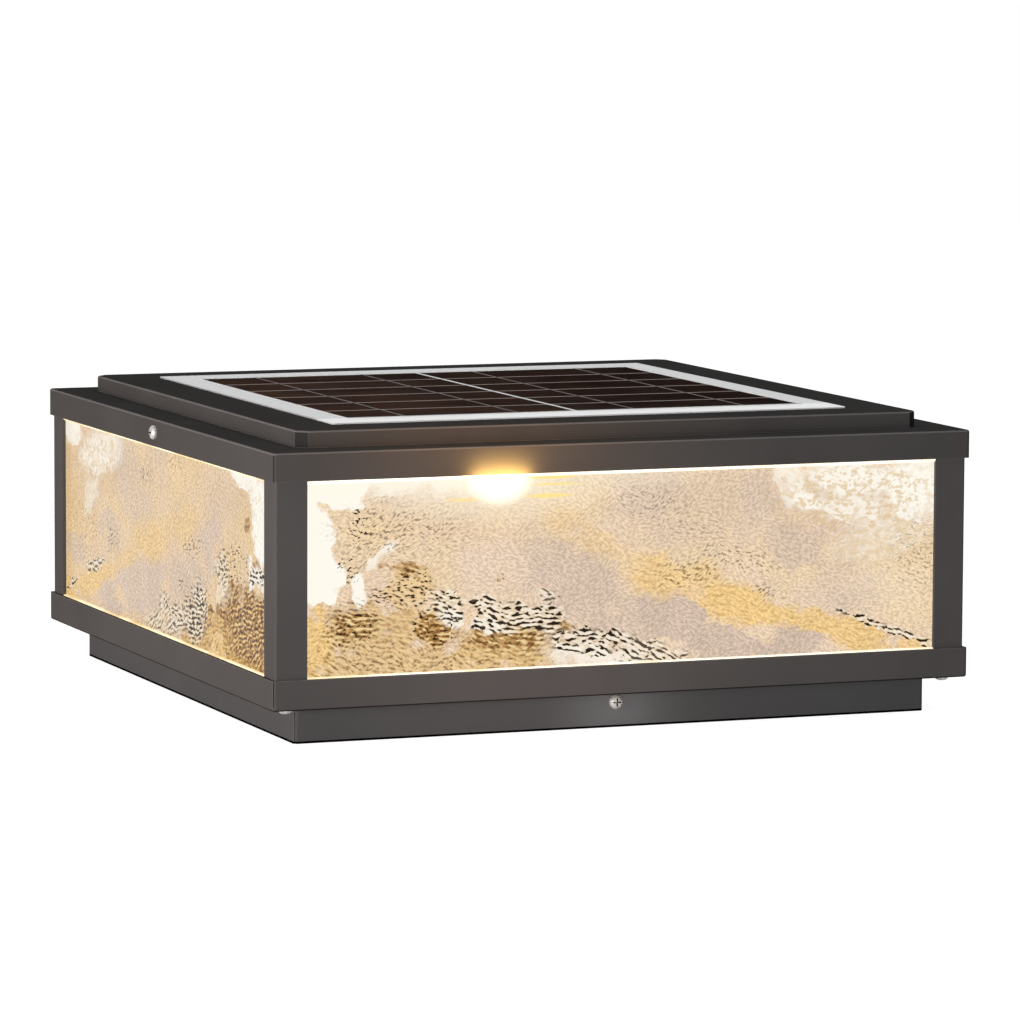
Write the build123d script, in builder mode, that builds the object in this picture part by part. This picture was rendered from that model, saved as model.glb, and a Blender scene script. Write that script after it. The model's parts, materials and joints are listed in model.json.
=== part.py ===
from build123d import *
import os

os.makedirs("parts", exist_ok=True)

# Square solar pillar light: a pressed lid that carries a solar panel, four ripple-glass panes
# held between corner posts, a folded tray, and a plinth skirt that drops over a pillar bracket.
# Millimetres, +Z up, front towards -Y, origin on the pillar's top face under the lamp's middle.

# Folded sheet shell
body_side = 300.0  # outside of the lid skirt and of the tray band
sheet = 1.2
bend_radius = 0.5  # inside of a folded upright corner
press_round = 0.9  # outer edge of a pressed or folded level edge
skirt_gap = 0.3  # from a skirt to what it covers
seam_gap = 0.4  # open mitre where two folded walls meet
seam_reach = 6.0  # length of the mitre cut across a corner

# Stacked heights
plinth_height = 15.1
tray_band_height = 12.1
window_height = 77.9
lid_skirt_height = 11.4
plateau_rise = 6.7

# Steps in from the outside, going up and down from the bands
shoulder_width = 16.0
plateau_chamfer = 4.0
plinth_inset = 13.4
plinth_flange = 10.0

# Solar panel
panel_rim = 22.2  # plateau left bare round the panel
panel_round = 1.2
panel_proud = 0.5  # board above the plateau
panel_board_thickness = 2.4
pocket_gap = 0.5
cell_columns = 2
cell_rows = 6
cell_margin_x = 13.2
cell_margin_y = 18.7
cell_gap = 2.2
cell_thickness = 0.25
cell_fit = 0.05  # round a cell in its seat
ribbons_per_cell = 2
ribbon_width = 1.2
ribbon_thickness = 0.1
film_gap = 0.05
film_skin = 0.25
film_margin = 1.5  # film beyond the cells

# Machine screws and square nuts
screw_radius = 1.5
screw_head_radius = 2.9
screw_head_height = 2.0
screw_tip = 0.6
recess_width = 0.8
recess_length = 3.4
recess_depth = 1.1
screw_fit = 0.05  # radial room in a tapped hole
screw_clear = 0.2  # radial room in a plain hole
nut_side = 5.5
nut_thickness = 1.8
nut_seat_gap = 0.2
nut_room = 1.6  # from a lid nut up to the shoulder's underside
notch_gap = 0.5  # round a nut that lifts out through the ring
head_room = 0.3  # over the ring screws' heads

# Corner posts
post_leg = 13.3
post_wall = 1.5
post_lip = 1.2
post_round = 1.0
lip_setback = 0.5
port_inset = 6.5  # screw port's middle from the post's outer faces
port_wall = 1.45
port_web = 2.0

# Glass panes, their pads and what catches them
pane_thickness = 3.0
pane_bevel = 0.3
pane_gap = 0.25
pane_end_gap = 0.4
pane_headroom = 0.9  # from a pane's top edge to the lid nut over it
pad_thickness = 1.5
pad_setback = 10.0
ring_catch = 1.9
stop_height = 7.0
bay_gap = 0.3  # from a post to the flange beside it

# Ring gasket
gasket_width = 5.0
gasket_inset = 0.7  # in from the plateau's inner wall
ring_ledge = 1.0  # ring left bare inside the gasket

# Tray drainage and rivets
weep_radius = 2.0
weep_setback = 7.5
rivet_radius = 1.6
rivet_head_radius = 3.2
rivet_head_height = 1.0
rivet_bulb_radius = 2.3
rivet_bulb_height = 1.7
rivet_fit = 0.05
rivet_spacing = 128.0

# Pillar bracket
bracket_sheet = 2.0
bracket_bend = 1.5
bracket_width = 50.0
lug_gap = 0.3
skirt_screw_height = 10.2
anchor_spacing = 120.0
anchor_slot_length = 18.0
anchor_slot_width = 6.5

# Driver box under the lid
box_wall = 2.0
box_round = 4.0
box_gap = 0.3
box_clear = 2.5
box_headroom = 2.0
ear_radius = 5.0
ear_reach = 6.0  # ear's screw out from the box wall
ear_inset = 12.0  # ear's screw in from the box's side
ear_thickness = 2.5
standoff_radius = 3.0
standoff_length = 8.0

# Battery
battery_diameter = 18.4
battery_length = 65.0
battery_round = 0.8
battery_gap = 0.8
battery_fit = 0.1
holder_wall = 1.6
holder_floor = 1.2
holder_height = 9.6
contact_thickness = 0.4
contact_height = 7.0

# Control board
board_length = 60.0
board_width = 54.0
board_thickness = 1.6
board_rise = 4.0
pillar_radius = 2.5
pillar_inset = 4.0
stake_radius = 1.2
stake_proud = 0.8
stake_fit = 0.15
plug_depth = 6.0
plug_width = 8.0
plug_height = 6.0
plug_inset = 1.0
chip_length = 7.0
chip_width = 5.0
chip_height = 1.6
coil_radius = 4.5
coil_height = 5.0
capacitor_radius = 3.0
capacitor_height = 8.0
tall_part_offset = 15.0  # coil and capacitor each side of the chip

# Leads
lead_radius = 0.8
lead_pitch = 4.0
lead_bend = 2.4
lead_hole_gap = 0.6
lead_height = 8.0  # battery leads above the box floor
panel_lead_inset = 8.0
switch_lead_inset = 5.0
switch_lead_rise = 4.0
led_lead_inset = 8.0

# Light source
led_board_radius = 22.0
led_board_thickness = 1.6
lens_flange_radius = 19.6
lens_flange_thickness = 1.5
lens_radius = 12.5
lens_wall = 1.5
led_screw_offset = 16.2
led_length = 3.5
led_width = 2.8
led_height = 0.7
led_ring_radius = 6.5
led_ring_count = 6

# Push switch in the box floor
barrel_radius = 6.0
barrel_length = 14.0
bezel_radius = 7.6
bezel_height = 2.0
switch_nut_radius = 8.2
switch_nut_height = 2.5
button_radius = 4.0
button_gap = 0.15
button_proud = 3.5
button_inside = 4.5
button_travel = 1.8
button_round = 1.0
button_end_gap = 0.5

# Plan positions worked out from the sizes above
bend_outer = bend_radius + sheet
body_half = body_side / 2
frame_side = body_side - 2 * sheet - 2 * skirt_gap
frame_half = frame_side / 2
inner_side = body_side - 2 * sheet
plinth_side = body_side - 2 * plinth_inset
plinth_half = plinth_side / 2
plateau_side = body_side - 2 * shoulder_width
panel_side = plateau_side - 2 * panel_rim
pocket_side = panel_side + 2 * pocket_gap
pocket_round = panel_round + pocket_gap
port_bore = screw_radius + screw_fit
port_radius = port_bore + port_wall
port_centre = frame_half - port_inset
pane_slot = pane_thickness + 2 * pane_gap
pane_plane = frame_half - post_wall - pane_slot / 2
pane_length = 2 * (port_centre - port_radius - pane_end_gap)
stop_face = frame_half - post_wall - pane_slot
bay_length = 2 * (frame_half - post_leg - bay_gap)
gasket_inner = plateau_side - 2 * sheet + 2 * gasket_inset
gasket_outer = gasket_inner + 2 * gasket_width
ring_opening = gasket_inner - 2 * ring_ledge
screw_hole = screw_radius + screw_clear

# Levels worked out from the sizes above
z_tray = plinth_height
z_floor = z_tray + sheet
z_skirt = z_tray + tray_band_height + window_height
z_shoulder = z_skirt + lid_skirt_height
z_shoulder_under = z_shoulder - sheet
z_plateau = z_shoulder + plateau_rise
film_recess = ribbon_thickness + film_gap
film_thickness = film_recess + film_skin
z_panel_top = z_plateau + panel_proud
z_panel_board = z_panel_top - panel_board_thickness
z_cells = z_panel_top - cell_thickness
z_cover_under = z_panel_board - sheet
gasket_thickness = screw_head_height + head_room
z_ring = z_shoulder_under - gasket_thickness
z_post_top = z_ring - sheet
z_lid_screw = z_shoulder_under - nut_room - nut_side / 2
z_pane = z_floor + pad_thickness
z_pane_top = z_lid_screw - nut_side / 2 - pane_headroom
z_catch = z_pane_top - ring_catch

quarter_turns = {"front": 0, "right": 90, "back": 180, "left": 270}
corner_turns = {"front_left": 0, "front_right": 90, "back_right": 180, "back_left": 270}


def save(piece, name):
    """Label a finished piece and write it as its own STEP file."""
    piece.part.label = name
    export_step(piece.part, f"parts/{name}.step")


def pan_screw(length):
    """Cross-recessed pan-head screw: seat on Z 0, head above, shank below."""
    shoulder_height = 0.35 * screw_head_height
    crown_radius = 0.35 * screw_head_radius
    with BuildPart() as screw:
        with BuildSketch(Plane.XZ):
            with BuildLine():
                Polyline(
                    (crown_radius, screw_head_height),
                    (0, screw_head_height),
                    (0, -length),
                    (screw_radius - screw_tip, -length),
                    (screw_radius, screw_tip - length),
                    (screw_radius, 0),
                    (screw_head_radius, 0),
                    (screw_head_radius, shoulder_height),
                )
                TangentArc(
                    (crown_radius, screw_head_height),
                    (screw_head_radius, shoulder_height),
                    tangent=(1, 0),
                )
            make_face()
        revolve(axis=Axis.Z)
        with BuildSketch(Plane.XY.offset(screw_head_height)):
            Rectangle(recess_length, recess_width)
            Rectangle(recess_width, recess_length)
        extrude(amount=-recess_depth, mode=Mode.SUBTRACT)
    return screw.part


def square_nut():
    """Square nut: seat on Z 0, body below."""
    with BuildPart() as nut:
        with BuildSketch():
            Rectangle(nut_side, nut_side)
            Circle(port_bore, mode=Mode.SUBTRACT)
        extrude(amount=-nut_thickness)
    return nut.part


def straight_leads(start, end, spread):
    """Pair of straight leads between two points, one pitch apart along the spread direction."""
    run = Vector(*end) - Vector(*start)
    offset_to_first = Vector(*spread) * (lead_pitch / 2)
    with BuildPart() as leads:
        for side in (-1, 1):
            with BuildSketch(Plane(origin=Vector(*start) + offset_to_first * side, z_dir=run)):
                Circle(lead_radius)
            extrude(amount=run.length)
    return leads


# Top cover: skirt, shoulder and plateau pressed from one sheet, with a sunk pocket for the panel
lid_screw_faces = [
    Plane(origin=(side * body_half, 0, z_lid_screw), x_dir=(0, 1, 0), z_dir=(side, 0, 0))
    for side in (-1, 1)
]
box_inner_width = max(battery_length + 2 * contact_thickness + 2 * holder_wall, board_width) + 2 * box_clear
holder_length = 2 * battery_diameter + battery_gap + 2 * battery_fit + 2 * holder_wall
box_inner_length = 4 * box_clear + holder_length + board_length + 2 * switch_nut_radius
holder_x = box_clear + holder_length / 2 - box_inner_length / 2
board_x = holder_x + holder_length / 2 + box_clear + board_length / 2
switch_x = board_x + board_length / 2 + box_clear + switch_nut_radius
panel_lead_y = board_width / 2 - panel_lead_inset
lead_hole_radius = lead_pitch / 2 + lead_radius + lead_hole_gap

with BuildPart() as top_cover:
    with BuildSketch(Plane.XY.offset(z_skirt)):
        RectangleRounded(body_side, body_side, bend_outer)
    extrude(amount=lid_skirt_height)
    fillet(top_cover.faces().sort_by(Axis.Z)[-1].edges(), press_round)
    with BuildSketch(Plane.XY.offset(z_shoulder)) as plateau:
        Rectangle(plateau_side, plateau_side)
        chamfer(plateau.vertices(), plateau_chamfer)
    extrude(amount=plateau_rise)
    fillet(top_cover.faces().sort_by(Axis.Z)[-1].edges(), press_round)
    with BuildSketch(Plane.XY.offset(z_skirt)):
        RectangleRounded(inner_side, inner_side, bend_radius)
    extrude(amount=lid_skirt_height - sheet, mode=Mode.SUBTRACT)
    with BuildSketch(Plane.XY.offset(z_shoulder_under)) as hollow:
        Rectangle(plateau_side - 2 * sheet, plateau_side - 2 * sheet)
        chamfer(hollow.vertices(), plateau_chamfer)
    extrude(amount=plateau_rise, mode=Mode.SUBTRACT)
    with BuildSketch(Plane.XY.offset(z_cover_under)):
        RectangleRounded(pocket_side + 2 * sheet, pocket_side + 2 * sheet, pocket_round + sheet)
    extrude(amount=z_plateau - sheet - z_cover_under)
    with BuildSketch(Plane.XY.offset(z_panel_board)):
        RectangleRounded(pocket_side, pocket_side, pocket_round)
    extrude(amount=z_plateau - z_panel_board, mode=Mode.SUBTRACT)
    with BuildSketch(Plane.XY.offset(z_cover_under)):
        with Locations((board_x, panel_lead_y)):
            Circle(lead_hole_radius)
    extrude(amount=sheet, mode=Mode.SUBTRACT)
    for face in lid_screw_faces:
        with BuildSketch(face):
            Circle(screw_hole)
        extrude(amount=-sheet, mode=Mode.SUBTRACT)
save(top_cover, "top_cover")

lid_grip = sheet + skirt_gap + sheet + nut_seat_gap
lid_screw = pan_screw(lid_grip + nut_thickness + screw_tip)
with BuildPart() as lid_screws:
    with Locations(*lid_screw_faces):
        add(lid_screw)
save(lid_screws, "lid_screws")

nut = square_nut()
with BuildPart() as lid_nuts:
    with Locations(*[face.offset(-lid_grip) for face in lid_screw_faces]):
        add(nut)
save(lid_nuts, "lid_nuts")

# Solar panel: board, cells seated flush in it, collecting ribbons and the clear film that seals them
cell_field_x = panel_side - 2 * cell_margin_x
cell_field_y = panel_side - 2 * cell_margin_y
cell_length = (cell_field_x + cell_gap) / cell_columns - cell_gap
cell_width = (cell_field_y + cell_gap) / cell_rows - cell_gap
ribbon_pitch = cell_length / ribbons_per_cell

with BuildPart() as panel_board:
    with BuildSketch(Plane.XY.offset(z_panel_board)):
        RectangleRounded(panel_side, panel_side, panel_round)
    extrude(amount=panel_board_thickness)
    with BuildSketch(Plane.XY.offset(z_cells)):
        with GridLocations(cell_length + cell_gap, cell_width + cell_gap, cell_columns, cell_rows):
            Rectangle(cell_length + 2 * cell_fit, cell_width + 2 * cell_fit)
    extrude(amount=cell_thickness, mode=Mode.SUBTRACT)
save(panel_board, "panel_board")

with BuildPart() as panel_cells:
    with BuildSketch(Plane.XY.offset(z_cells)):
        with GridLocations(cell_length + cell_gap, cell_width + cell_gap, cell_columns, cell_rows):
            Rectangle(cell_length, cell_width)
    extrude(amount=cell_thickness)
save(panel_cells, "panel_cells")

with BuildPart() as panel_ribbons:
    with BuildSketch(Plane.XY.offset(z_panel_top)):
        with GridLocations(cell_length + cell_gap, 0, cell_columns, 1):
            with GridLocations(ribbon_pitch, 0, ribbons_per_cell, 1):
                Rectangle(ribbon_width, cell_field_y)
    extrude(amount=ribbon_thickness)
save(panel_ribbons, "panel_ribbons")

with BuildPart() as panel_film:
    with BuildSketch(Plane.XY.offset(z_panel_top)):
        RectangleRounded(cell_field_x + 2 * film_margin, cell_field_y + 2 * film_margin, panel_round)
    extrude(amount=film_thickness)
    with BuildSketch(Plane.XY.offset(z_panel_top)):
        Rectangle(cell_field_x + 2 * film_gap, cell_field_y + 2 * film_gap)
    extrude(amount=film_recess, mode=Mode.SUBTRACT)
save(panel_film, "panel_film")

# Driver box: moulded tray hung under the lid on four standoffs
box_length = box_inner_length + 2 * box_wall
box_width = box_inner_width + 2 * box_wall
box_depth = holder_floor + 2 * battery_fit + battery_diameter + box_headroom
z_box_top = z_cover_under - box_gap
z_box_floor = z_box_top - box_depth
z_box_under = z_box_floor - box_wall
z_ear_top = z_cover_under - standoff_length
ear_spread_x = box_length + 2 * ear_reach
ear_spread_y = box_width - 2 * ear_inset
stake_spread_x = board_length - 2 * pillar_inset
stake_spread_y = board_width - 2 * pillar_inset
led_lead_x = led_board_radius - led_lead_inset
z_board = z_box_floor + board_rise
z_board_top = z_board + board_thickness

with BuildPart() as driver_box:
    with BuildSketch(Plane.XY.offset(z_box_under)):
        RectangleRounded(box_length, box_width, box_round)
    extrude(amount=z_box_top - z_box_under)
    fillet(driver_box.faces().sort_by(Axis.Z)[0].edges(), box_wall / 2)
    with BuildSketch(Plane.XY.offset(z_ear_top)):
        with GridLocations(0, ear_spread_y, 1, 2):
            SlotCenterToCenter(ear_spread_x, 2 * ear_radius)
    extrude(amount=-ear_thickness)
    with BuildSketch(Plane.XY.offset(z_box_floor)):
        RectangleRounded(box_inner_length, box_inner_width, box_round - box_wall)
    extrude(amount=box_depth, mode=Mode.SUBTRACT)
    with BuildSketch(Plane.XY.offset(z_box_floor)):
        with Locations((board_x, 0)):
            with GridLocations(stake_spread_x, stake_spread_y, 2, 2):
                Circle(pillar_radius)
    extrude(amount=board_rise)
    with BuildSketch(Plane.XY.offset(z_board)):
        with Locations((board_x, 0)):
            with GridLocations(stake_spread_x, stake_spread_y, 2, 2):
                Circle(stake_radius)
    extrude(amount=board_thickness + stake_proud)
    with BuildSketch(Plane.XY.offset(z_ear_top)):
        with GridLocations(ear_spread_x, ear_spread_y, 2, 2):
            Circle(screw_hole)
    extrude(amount=-ear_thickness, mode=Mode.SUBTRACT)
    with BuildSketch(Plane.XY.offset(z_box_under)):
        with Locations((led_lead_x, 0)):
            Circle(lead_hole_radius)
        with Locations((switch_x, 0)):
            Circle(barrel_radius + screw_clear)
        with GridLocations(0, 2 * led_screw_offset, 1, 2):
            Circle(port_bore)
    extrude(amount=box_wall, mode=Mode.SUBTRACT)
save(driver_box, "driver_box")

with BuildPart() as box_standoffs:
    with BuildSketch(Plane.XY.offset(z_ear_top)):
        with GridLocations(ear_spread_x, ear_spread_y, 2, 2):
            Circle(standoff_radius)
            Circle(port_bore, mode=Mode.SUBTRACT)
    extrude(amount=standoff_length)
save(box_standoffs, "box_standoffs")

box_screw = pan_screw(ear_thickness + standoff_length - screw_tip)
with BuildPart() as box_screws:
    with Locations(Plane(origin=(0, 0, z_ear_top - ear_thickness), z_dir=(0, 0, -1))):
        with GridLocations(ear_spread_x, ear_spread_y, 2, 2):
            add(box_screw)
save(box_screws, "box_screws")

# Battery: open holder with two cells side by side and a contact plate at each end
holder_inner = battery_length + 2 * contact_thickness + 2 * battery_fit
holder_width = holder_inner + 2 * holder_wall
cell_pitch = battery_diameter + battery_gap
trough_radius = battery_diameter / 2 + battery_fit
z_cell_axis = z_box_floor + holder_floor + trough_radius
contact_plane = holder_inner / 2 - contact_thickness / 2
contact_length = cell_pitch + contact_height

with BuildPart() as battery_holder:
    with BuildSketch(Plane.XY.offset(z_box_floor)):
        with Locations((holder_x, 0)):
            Rectangle(holder_length, holder_width)
    extrude(amount=holder_height)
    with BuildSketch(Plane.XZ):
        with Locations((holder_x, z_cell_axis)):
            with GridLocations(cell_pitch, 0, 2, 1):
                Circle(trough_radius)
    extrude(amount=holder_inner / 2, both=True, mode=Mode.SUBTRACT)
    with BuildSketch(Plane.XY.offset(z_box_floor + holder_height)):
        with Locations((holder_x, 0)):
            with GridLocations(0, 2 * contact_plane, 1, 2):
                Rectangle(contact_length + 2 * battery_fit, contact_thickness)
    extrude(amount=holder_floor - holder_height, mode=Mode.SUBTRACT)
save(battery_holder, "battery_holder")

with BuildPart() as battery_contacts:
    with BuildSketch(Plane.XY.offset(z_box_floor + holder_floor)):
        with Locations((holder_x, 0)):
            with GridLocations(0, 2 * contact_plane, 1, 2):
                Rectangle(contact_length, contact_thickness)
    extrude(amount=contact_height)
save(battery_contacts, "battery_contacts")

with BuildPart() as battery_cells:
    with BuildSketch(Plane.XZ):
        with Locations((holder_x, z_cell_axis)):
            with GridLocations(cell_pitch, 0, 2, 1):
                Circle(battery_diameter / 2)
    extrude(amount=battery_length / 2, both=True)
    fillet(battery_cells.edges().filter_by(GeomType.CIRCLE), battery_round)
save(battery_cells, "battery_cells")

# Control board, its parts and the leads that end on it
plug_x = board_x - board_length / 2 + plug_inset + plug_depth / 2

with BuildPart() as control_board:
    with BuildSketch(Plane.XY.offset(z_board)):
        with Locations((board_x, 0)):
            Rectangle(board_length, board_width)
            with GridLocations(stake_spread_x, stake_spread_y, 2, 2):
                Circle(stake_radius + stake_fit, mode=Mode.SUBTRACT)
    extrude(amount=board_thickness)
save(control_board, "control_board")

with BuildPart() as board_parts:
    with BuildSketch(Plane.XY.offset(z_board_top)):
        with Locations((plug_x, 0)):
            Rectangle(plug_depth, plug_width)
    extrude(amount=plug_height)
    with BuildSketch(Plane.XY.offset(z_board_top)):
        with Locations((board_x, 0)):
            Rectangle(chip_length, chip_width)
    extrude(amount=chip_height)
    with BuildSketch(Plane.XY.offset(z_board_top)):
        with Locations((board_x - tall_part_offset, -tall_part_offset)):
            Circle(coil_radius)
    extrude(amount=coil_height)
    with BuildSketch(Plane.XY.offset(z_board_top)):
        with Locations((board_x + tall_part_offset, -tall_part_offset)):
            Circle(capacitor_radius)
    extrude(amount=capacitor_height)
save(board_parts, "board_parts")

panel_leads = straight_leads(
    (board_x, panel_lead_y, z_board_top), (board_x, panel_lead_y, z_panel_board), (1, 0, 0)
)
save(panel_leads, "panel_leads")

z_battery_lead = z_box_floor + lead_height
battery_leads = straight_leads(
    (holder_x + holder_length / 2, 0, z_battery_lead),
    (plug_x - plug_depth / 2, 0, z_battery_lead),
    (0, 1, 0),
)
save(battery_leads, "battery_leads")

led_leads = straight_leads((led_lead_x, 0, z_box_under), (led_lead_x, 0, z_board), (0, 1, 0))
save(led_leads, "led_leads")

z_barrel_top = z_box_floor + barrel_length
z_switch_lead = z_barrel_top + switch_lead_rise
switch_lead_end = board_x + board_length / 2 - switch_lead_inset
with BuildPart() as switch_leads:
    for side in (-1, 1):
        lead_y = side * lead_pitch / 2
        with BuildLine() as route:
            FilletPolyline(
                (switch_x, lead_y, z_barrel_top),
                (switch_x, lead_y, z_switch_lead),
                (switch_lead_end, lead_y, z_switch_lead),
                (switch_lead_end, lead_y, z_board_top),
                radius=lead_bend,
            )
        with BuildSketch(Plane(origin=route.line @ 0, z_dir=route.line % 0)):
            Circle(lead_radius)
        sweep(path=route.line)
save(switch_leads, "switch_leads")

# Light source under the box: board, LED chips and a hollow dome lens
z_led_board = z_box_under - led_board_thickness
z_dome = z_led_board - lens_flange_thickness

with BuildPart() as led_board:
    with BuildSketch(Plane.XY.offset(z_led_board)):
        Circle(led_board_radius)
        with GridLocations(0, 2 * led_screw_offset, 1, 2):
            Circle(screw_hole, mode=Mode.SUBTRACT)
    extrude(amount=led_board_thickness)
save(led_board, "led_board")

with BuildPart() as led_chips:
    with BuildSketch(Plane.XY.offset(z_led_board)):
        Rectangle(led_length, led_width)
        with PolarLocations(led_ring_radius, led_ring_count):
            Rectangle(led_length, led_width)
    extrude(amount=-led_height)
save(led_chips, "led_chips")

with BuildPart() as led_lens:
    with BuildSketch(Plane.XZ):
        with BuildLine():
            Polyline(
                (lens_radius - lens_wall, z_dome),
                (lens_radius - lens_wall, z_led_board),
                (lens_flange_radius, z_led_board),
                (lens_flange_radius, z_dome),
                (lens_radius, z_dome),
            )
            CenterArc((0, z_dome), lens_radius, 0, -90)
            Line((0, z_dome - lens_radius), (0, z_dome - lens_radius + lens_wall))
            CenterArc((0, z_dome), lens_radius - lens_wall, 0, -90)
        make_face()
    revolve(axis=Axis.Z)
    with BuildSketch(Plane.XY.offset(z_dome)):
        with GridLocations(0, 2 * led_screw_offset, 1, 2):
            Circle(screw_hole)
    extrude(amount=lens_flange_thickness, mode=Mode.SUBTRACT)
save(led_lens, "led_lens")

led_screw = pan_screw(lens_flange_thickness + led_board_thickness + box_wall + screw_tip)
with BuildPart() as led_screws:
    with Locations(Plane(origin=(0, 0, z_dome), z_dir=(0, 0, -1))):
        with GridLocations(0, 2 * led_screw_offset, 1, 2):
            add(led_screw)
save(led_screws, "led_screws")

# Push switch: threaded barrel with a bezel, its nut inside the box, and the sliding button
z_bezel = z_box_under - bezel_height
button_bore = button_radius + button_gap

with BuildPart() as switch_housing:
    with BuildSketch(Plane.XY.offset(z_bezel)):
        with Locations((switch_x, 0)):
            Circle(bezel_radius)
    extrude(amount=bezel_height)
    with BuildSketch(Plane.XY.offset(z_box_under)):
        with Locations((switch_x, 0)):
            Circle(barrel_radius)
    extrude(amount=z_barrel_top - z_box_under)
    with BuildSketch(Plane.XY.offset(z_bezel)):
        with Locations((switch_x, 0)):
            Circle(button_bore)
    extrude(amount=button_inside + button_travel + button_end_gap, mode=Mode.SUBTRACT)
save(switch_housing, "switch_housing")

with BuildPart() as switch_nut:
    with BuildSketch(Plane.XY.offset(z_box_floor)):
        with Locations((switch_x, 0)):
            RegularPolygon(switch_nut_radius, 6)
            Circle(barrel_radius + screw_fit, mode=Mode.SUBTRACT)
    extrude(amount=switch_nut_height)
save(switch_nut, "switch_nut")

with BuildPart() as switch_button:
    with BuildSketch(Plane.XY.offset(z_bezel - button_proud)):
        with Locations((switch_x, 0)):
            Circle(button_radius)
    extrude(amount=button_proud + button_inside)
    fillet(switch_button.edges().group_by(Axis.Z)[0], button_round)
save(switch_button, "switch_button")

# Top ring: one folded sheet whose flanges catch the panes, notched for the lid's screws and nuts
notch_depth = sheet + nut_seat_gap + nut_thickness + screw_tip + notch_gap

with BuildPart() as top_ring:
    with BuildSketch(Plane.XY.offset(z_post_top)):
        RectangleRounded(frame_side, frame_side, post_round)
        Rectangle(ring_opening, ring_opening, mode=Mode.SUBTRACT)
        with GridLocations(2 * port_centre, 2 * port_centre, 2, 2):
            Circle(screw_hole, mode=Mode.SUBTRACT)
        with GridLocations(2 * frame_half - notch_depth, 0, 2, 1):
            Rectangle(notch_depth, nut_side + 2 * notch_gap, mode=Mode.SUBTRACT)
    extrude(amount=sheet)
    with BuildSketch(Plane.XY.offset(z_catch)):
        with PolarLocations(frame_half - sheet / 2, 4):
            Rectangle(sheet, bay_length)
        with PolarLocations(stop_face - post_lip / 2, 4):
            Rectangle(post_lip, bay_length)
    extrude(amount=z_post_top - z_catch)
    for side in (-1, 1):
        with BuildSketch(Plane.YZ.offset(side * frame_half)):
            with Locations((0, z_lid_screw)):
                Circle(screw_hole)
                Rectangle(2 * screw_hole, z_ring - z_lid_screw, align=(Align.CENTER, Align.MIN))
        extrude(amount=-side * sheet, mode=Mode.SUBTRACT)
save(top_ring, "top_ring")

with BuildPart() as lid_gasket:
    with BuildSketch(Plane.XY.offset(z_ring)):
        Rectangle(gasket_outer, gasket_outer)
        Rectangle(gasket_inner, gasket_inner, mode=Mode.SUBTRACT)
    extrude(amount=gasket_thickness)
save(lid_gasket, "lid_gasket")

post_screw_length = 4 * screw_radius + sheet
post_screw = pan_screw(post_screw_length)
with BuildPart() as ring_screws:
    with Locations(Plane.XY.offset(z_ring)):
        with GridLocations(2 * port_centre, 2 * port_centre, 2, 2):
            add(post_screw)
save(ring_screws, "ring_screws")

# Corner posts: extrusions with a screw port, joined to the corner by a web, and two pane slots
web_length = 2**0.5 * port_inset
lip_length = post_leg - lip_setback - port_inset

for corner, turn in corner_turns.items():
    with BuildPart() as corner_post:
        with BuildSketch(Plane.XY.offset(z_floor).rotated((0, 0, turn))):
            with Locations((-frame_half, -frame_half)):
                Rectangle(post_leg, post_wall, align=(Align.MIN, Align.MIN))
                Rectangle(post_wall, post_leg, align=(Align.MIN, Align.MIN))
            with Locations((-port_centre, -stop_face)):
                Rectangle(lip_length, post_lip, align=(Align.MIN, Align.MIN))
            with Locations((-stop_face, -port_centre)):
                Rectangle(post_lip, lip_length, align=(Align.MIN, Align.MIN))
            with Locations((-frame_half + port_inset / 2, -frame_half + port_inset / 2)):
                Rectangle(web_length - 2 * post_round, port_web, rotation=45)
            with Locations((-port_centre, -port_centre)):
                Circle(port_radius)
                Circle(port_bore, mode=Mode.SUBTRACT)
        extrude(amount=z_post_top - z_floor)
        fillet(corner_post.edges().filter_by(Axis.Z).sort_by_distance((0, 0, z_floor))[-1], post_round)
    save(corner_post, f"corner_post_{corner}")

# Glass panes, standing on rubber pads in the tray and held by the posts' slots
for side_name, turn in quarter_turns.items():
    with BuildPart() as glass_pane:
        with BuildSketch(Plane.XY.offset(z_pane).rotated((0, 0, turn))):
            with Locations((0, -pane_plane)):
                Rectangle(pane_length, pane_thickness)
        extrude(amount=z_pane_top - z_pane)
        chamfer(glass_pane.faces().filter_by(Axis.Z).edges(), pane_bevel)
    save(glass_pane, f"glass_pane_{side_name}")

with BuildPart() as pane_pads:
    with BuildSketch(Plane.XY.offset(z_floor)):
        with PolarLocations(pane_plane, 4):
            Rectangle(pane_thickness, pane_length - 2 * pad_setback)
    extrude(amount=pad_thickness)
save(pane_pads, "pane_pads")

# Bottom tray: folded pan with welded stops behind the panes, drained and riveted to the skirt
rivet_line = plinth_half - plinth_flange / 2
weep_spread = plinth_side - 2 * plinth_flange - 2 * weep_setback
rivet_points = [
    point
    for offset_along in (-rivet_spacing / 2, rivet_spacing / 2)
    for point in (
        (offset_along, -rivet_line),
        (offset_along, rivet_line),
        (-rivet_line, offset_along),
        (rivet_line, offset_along),
    )
]

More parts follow.
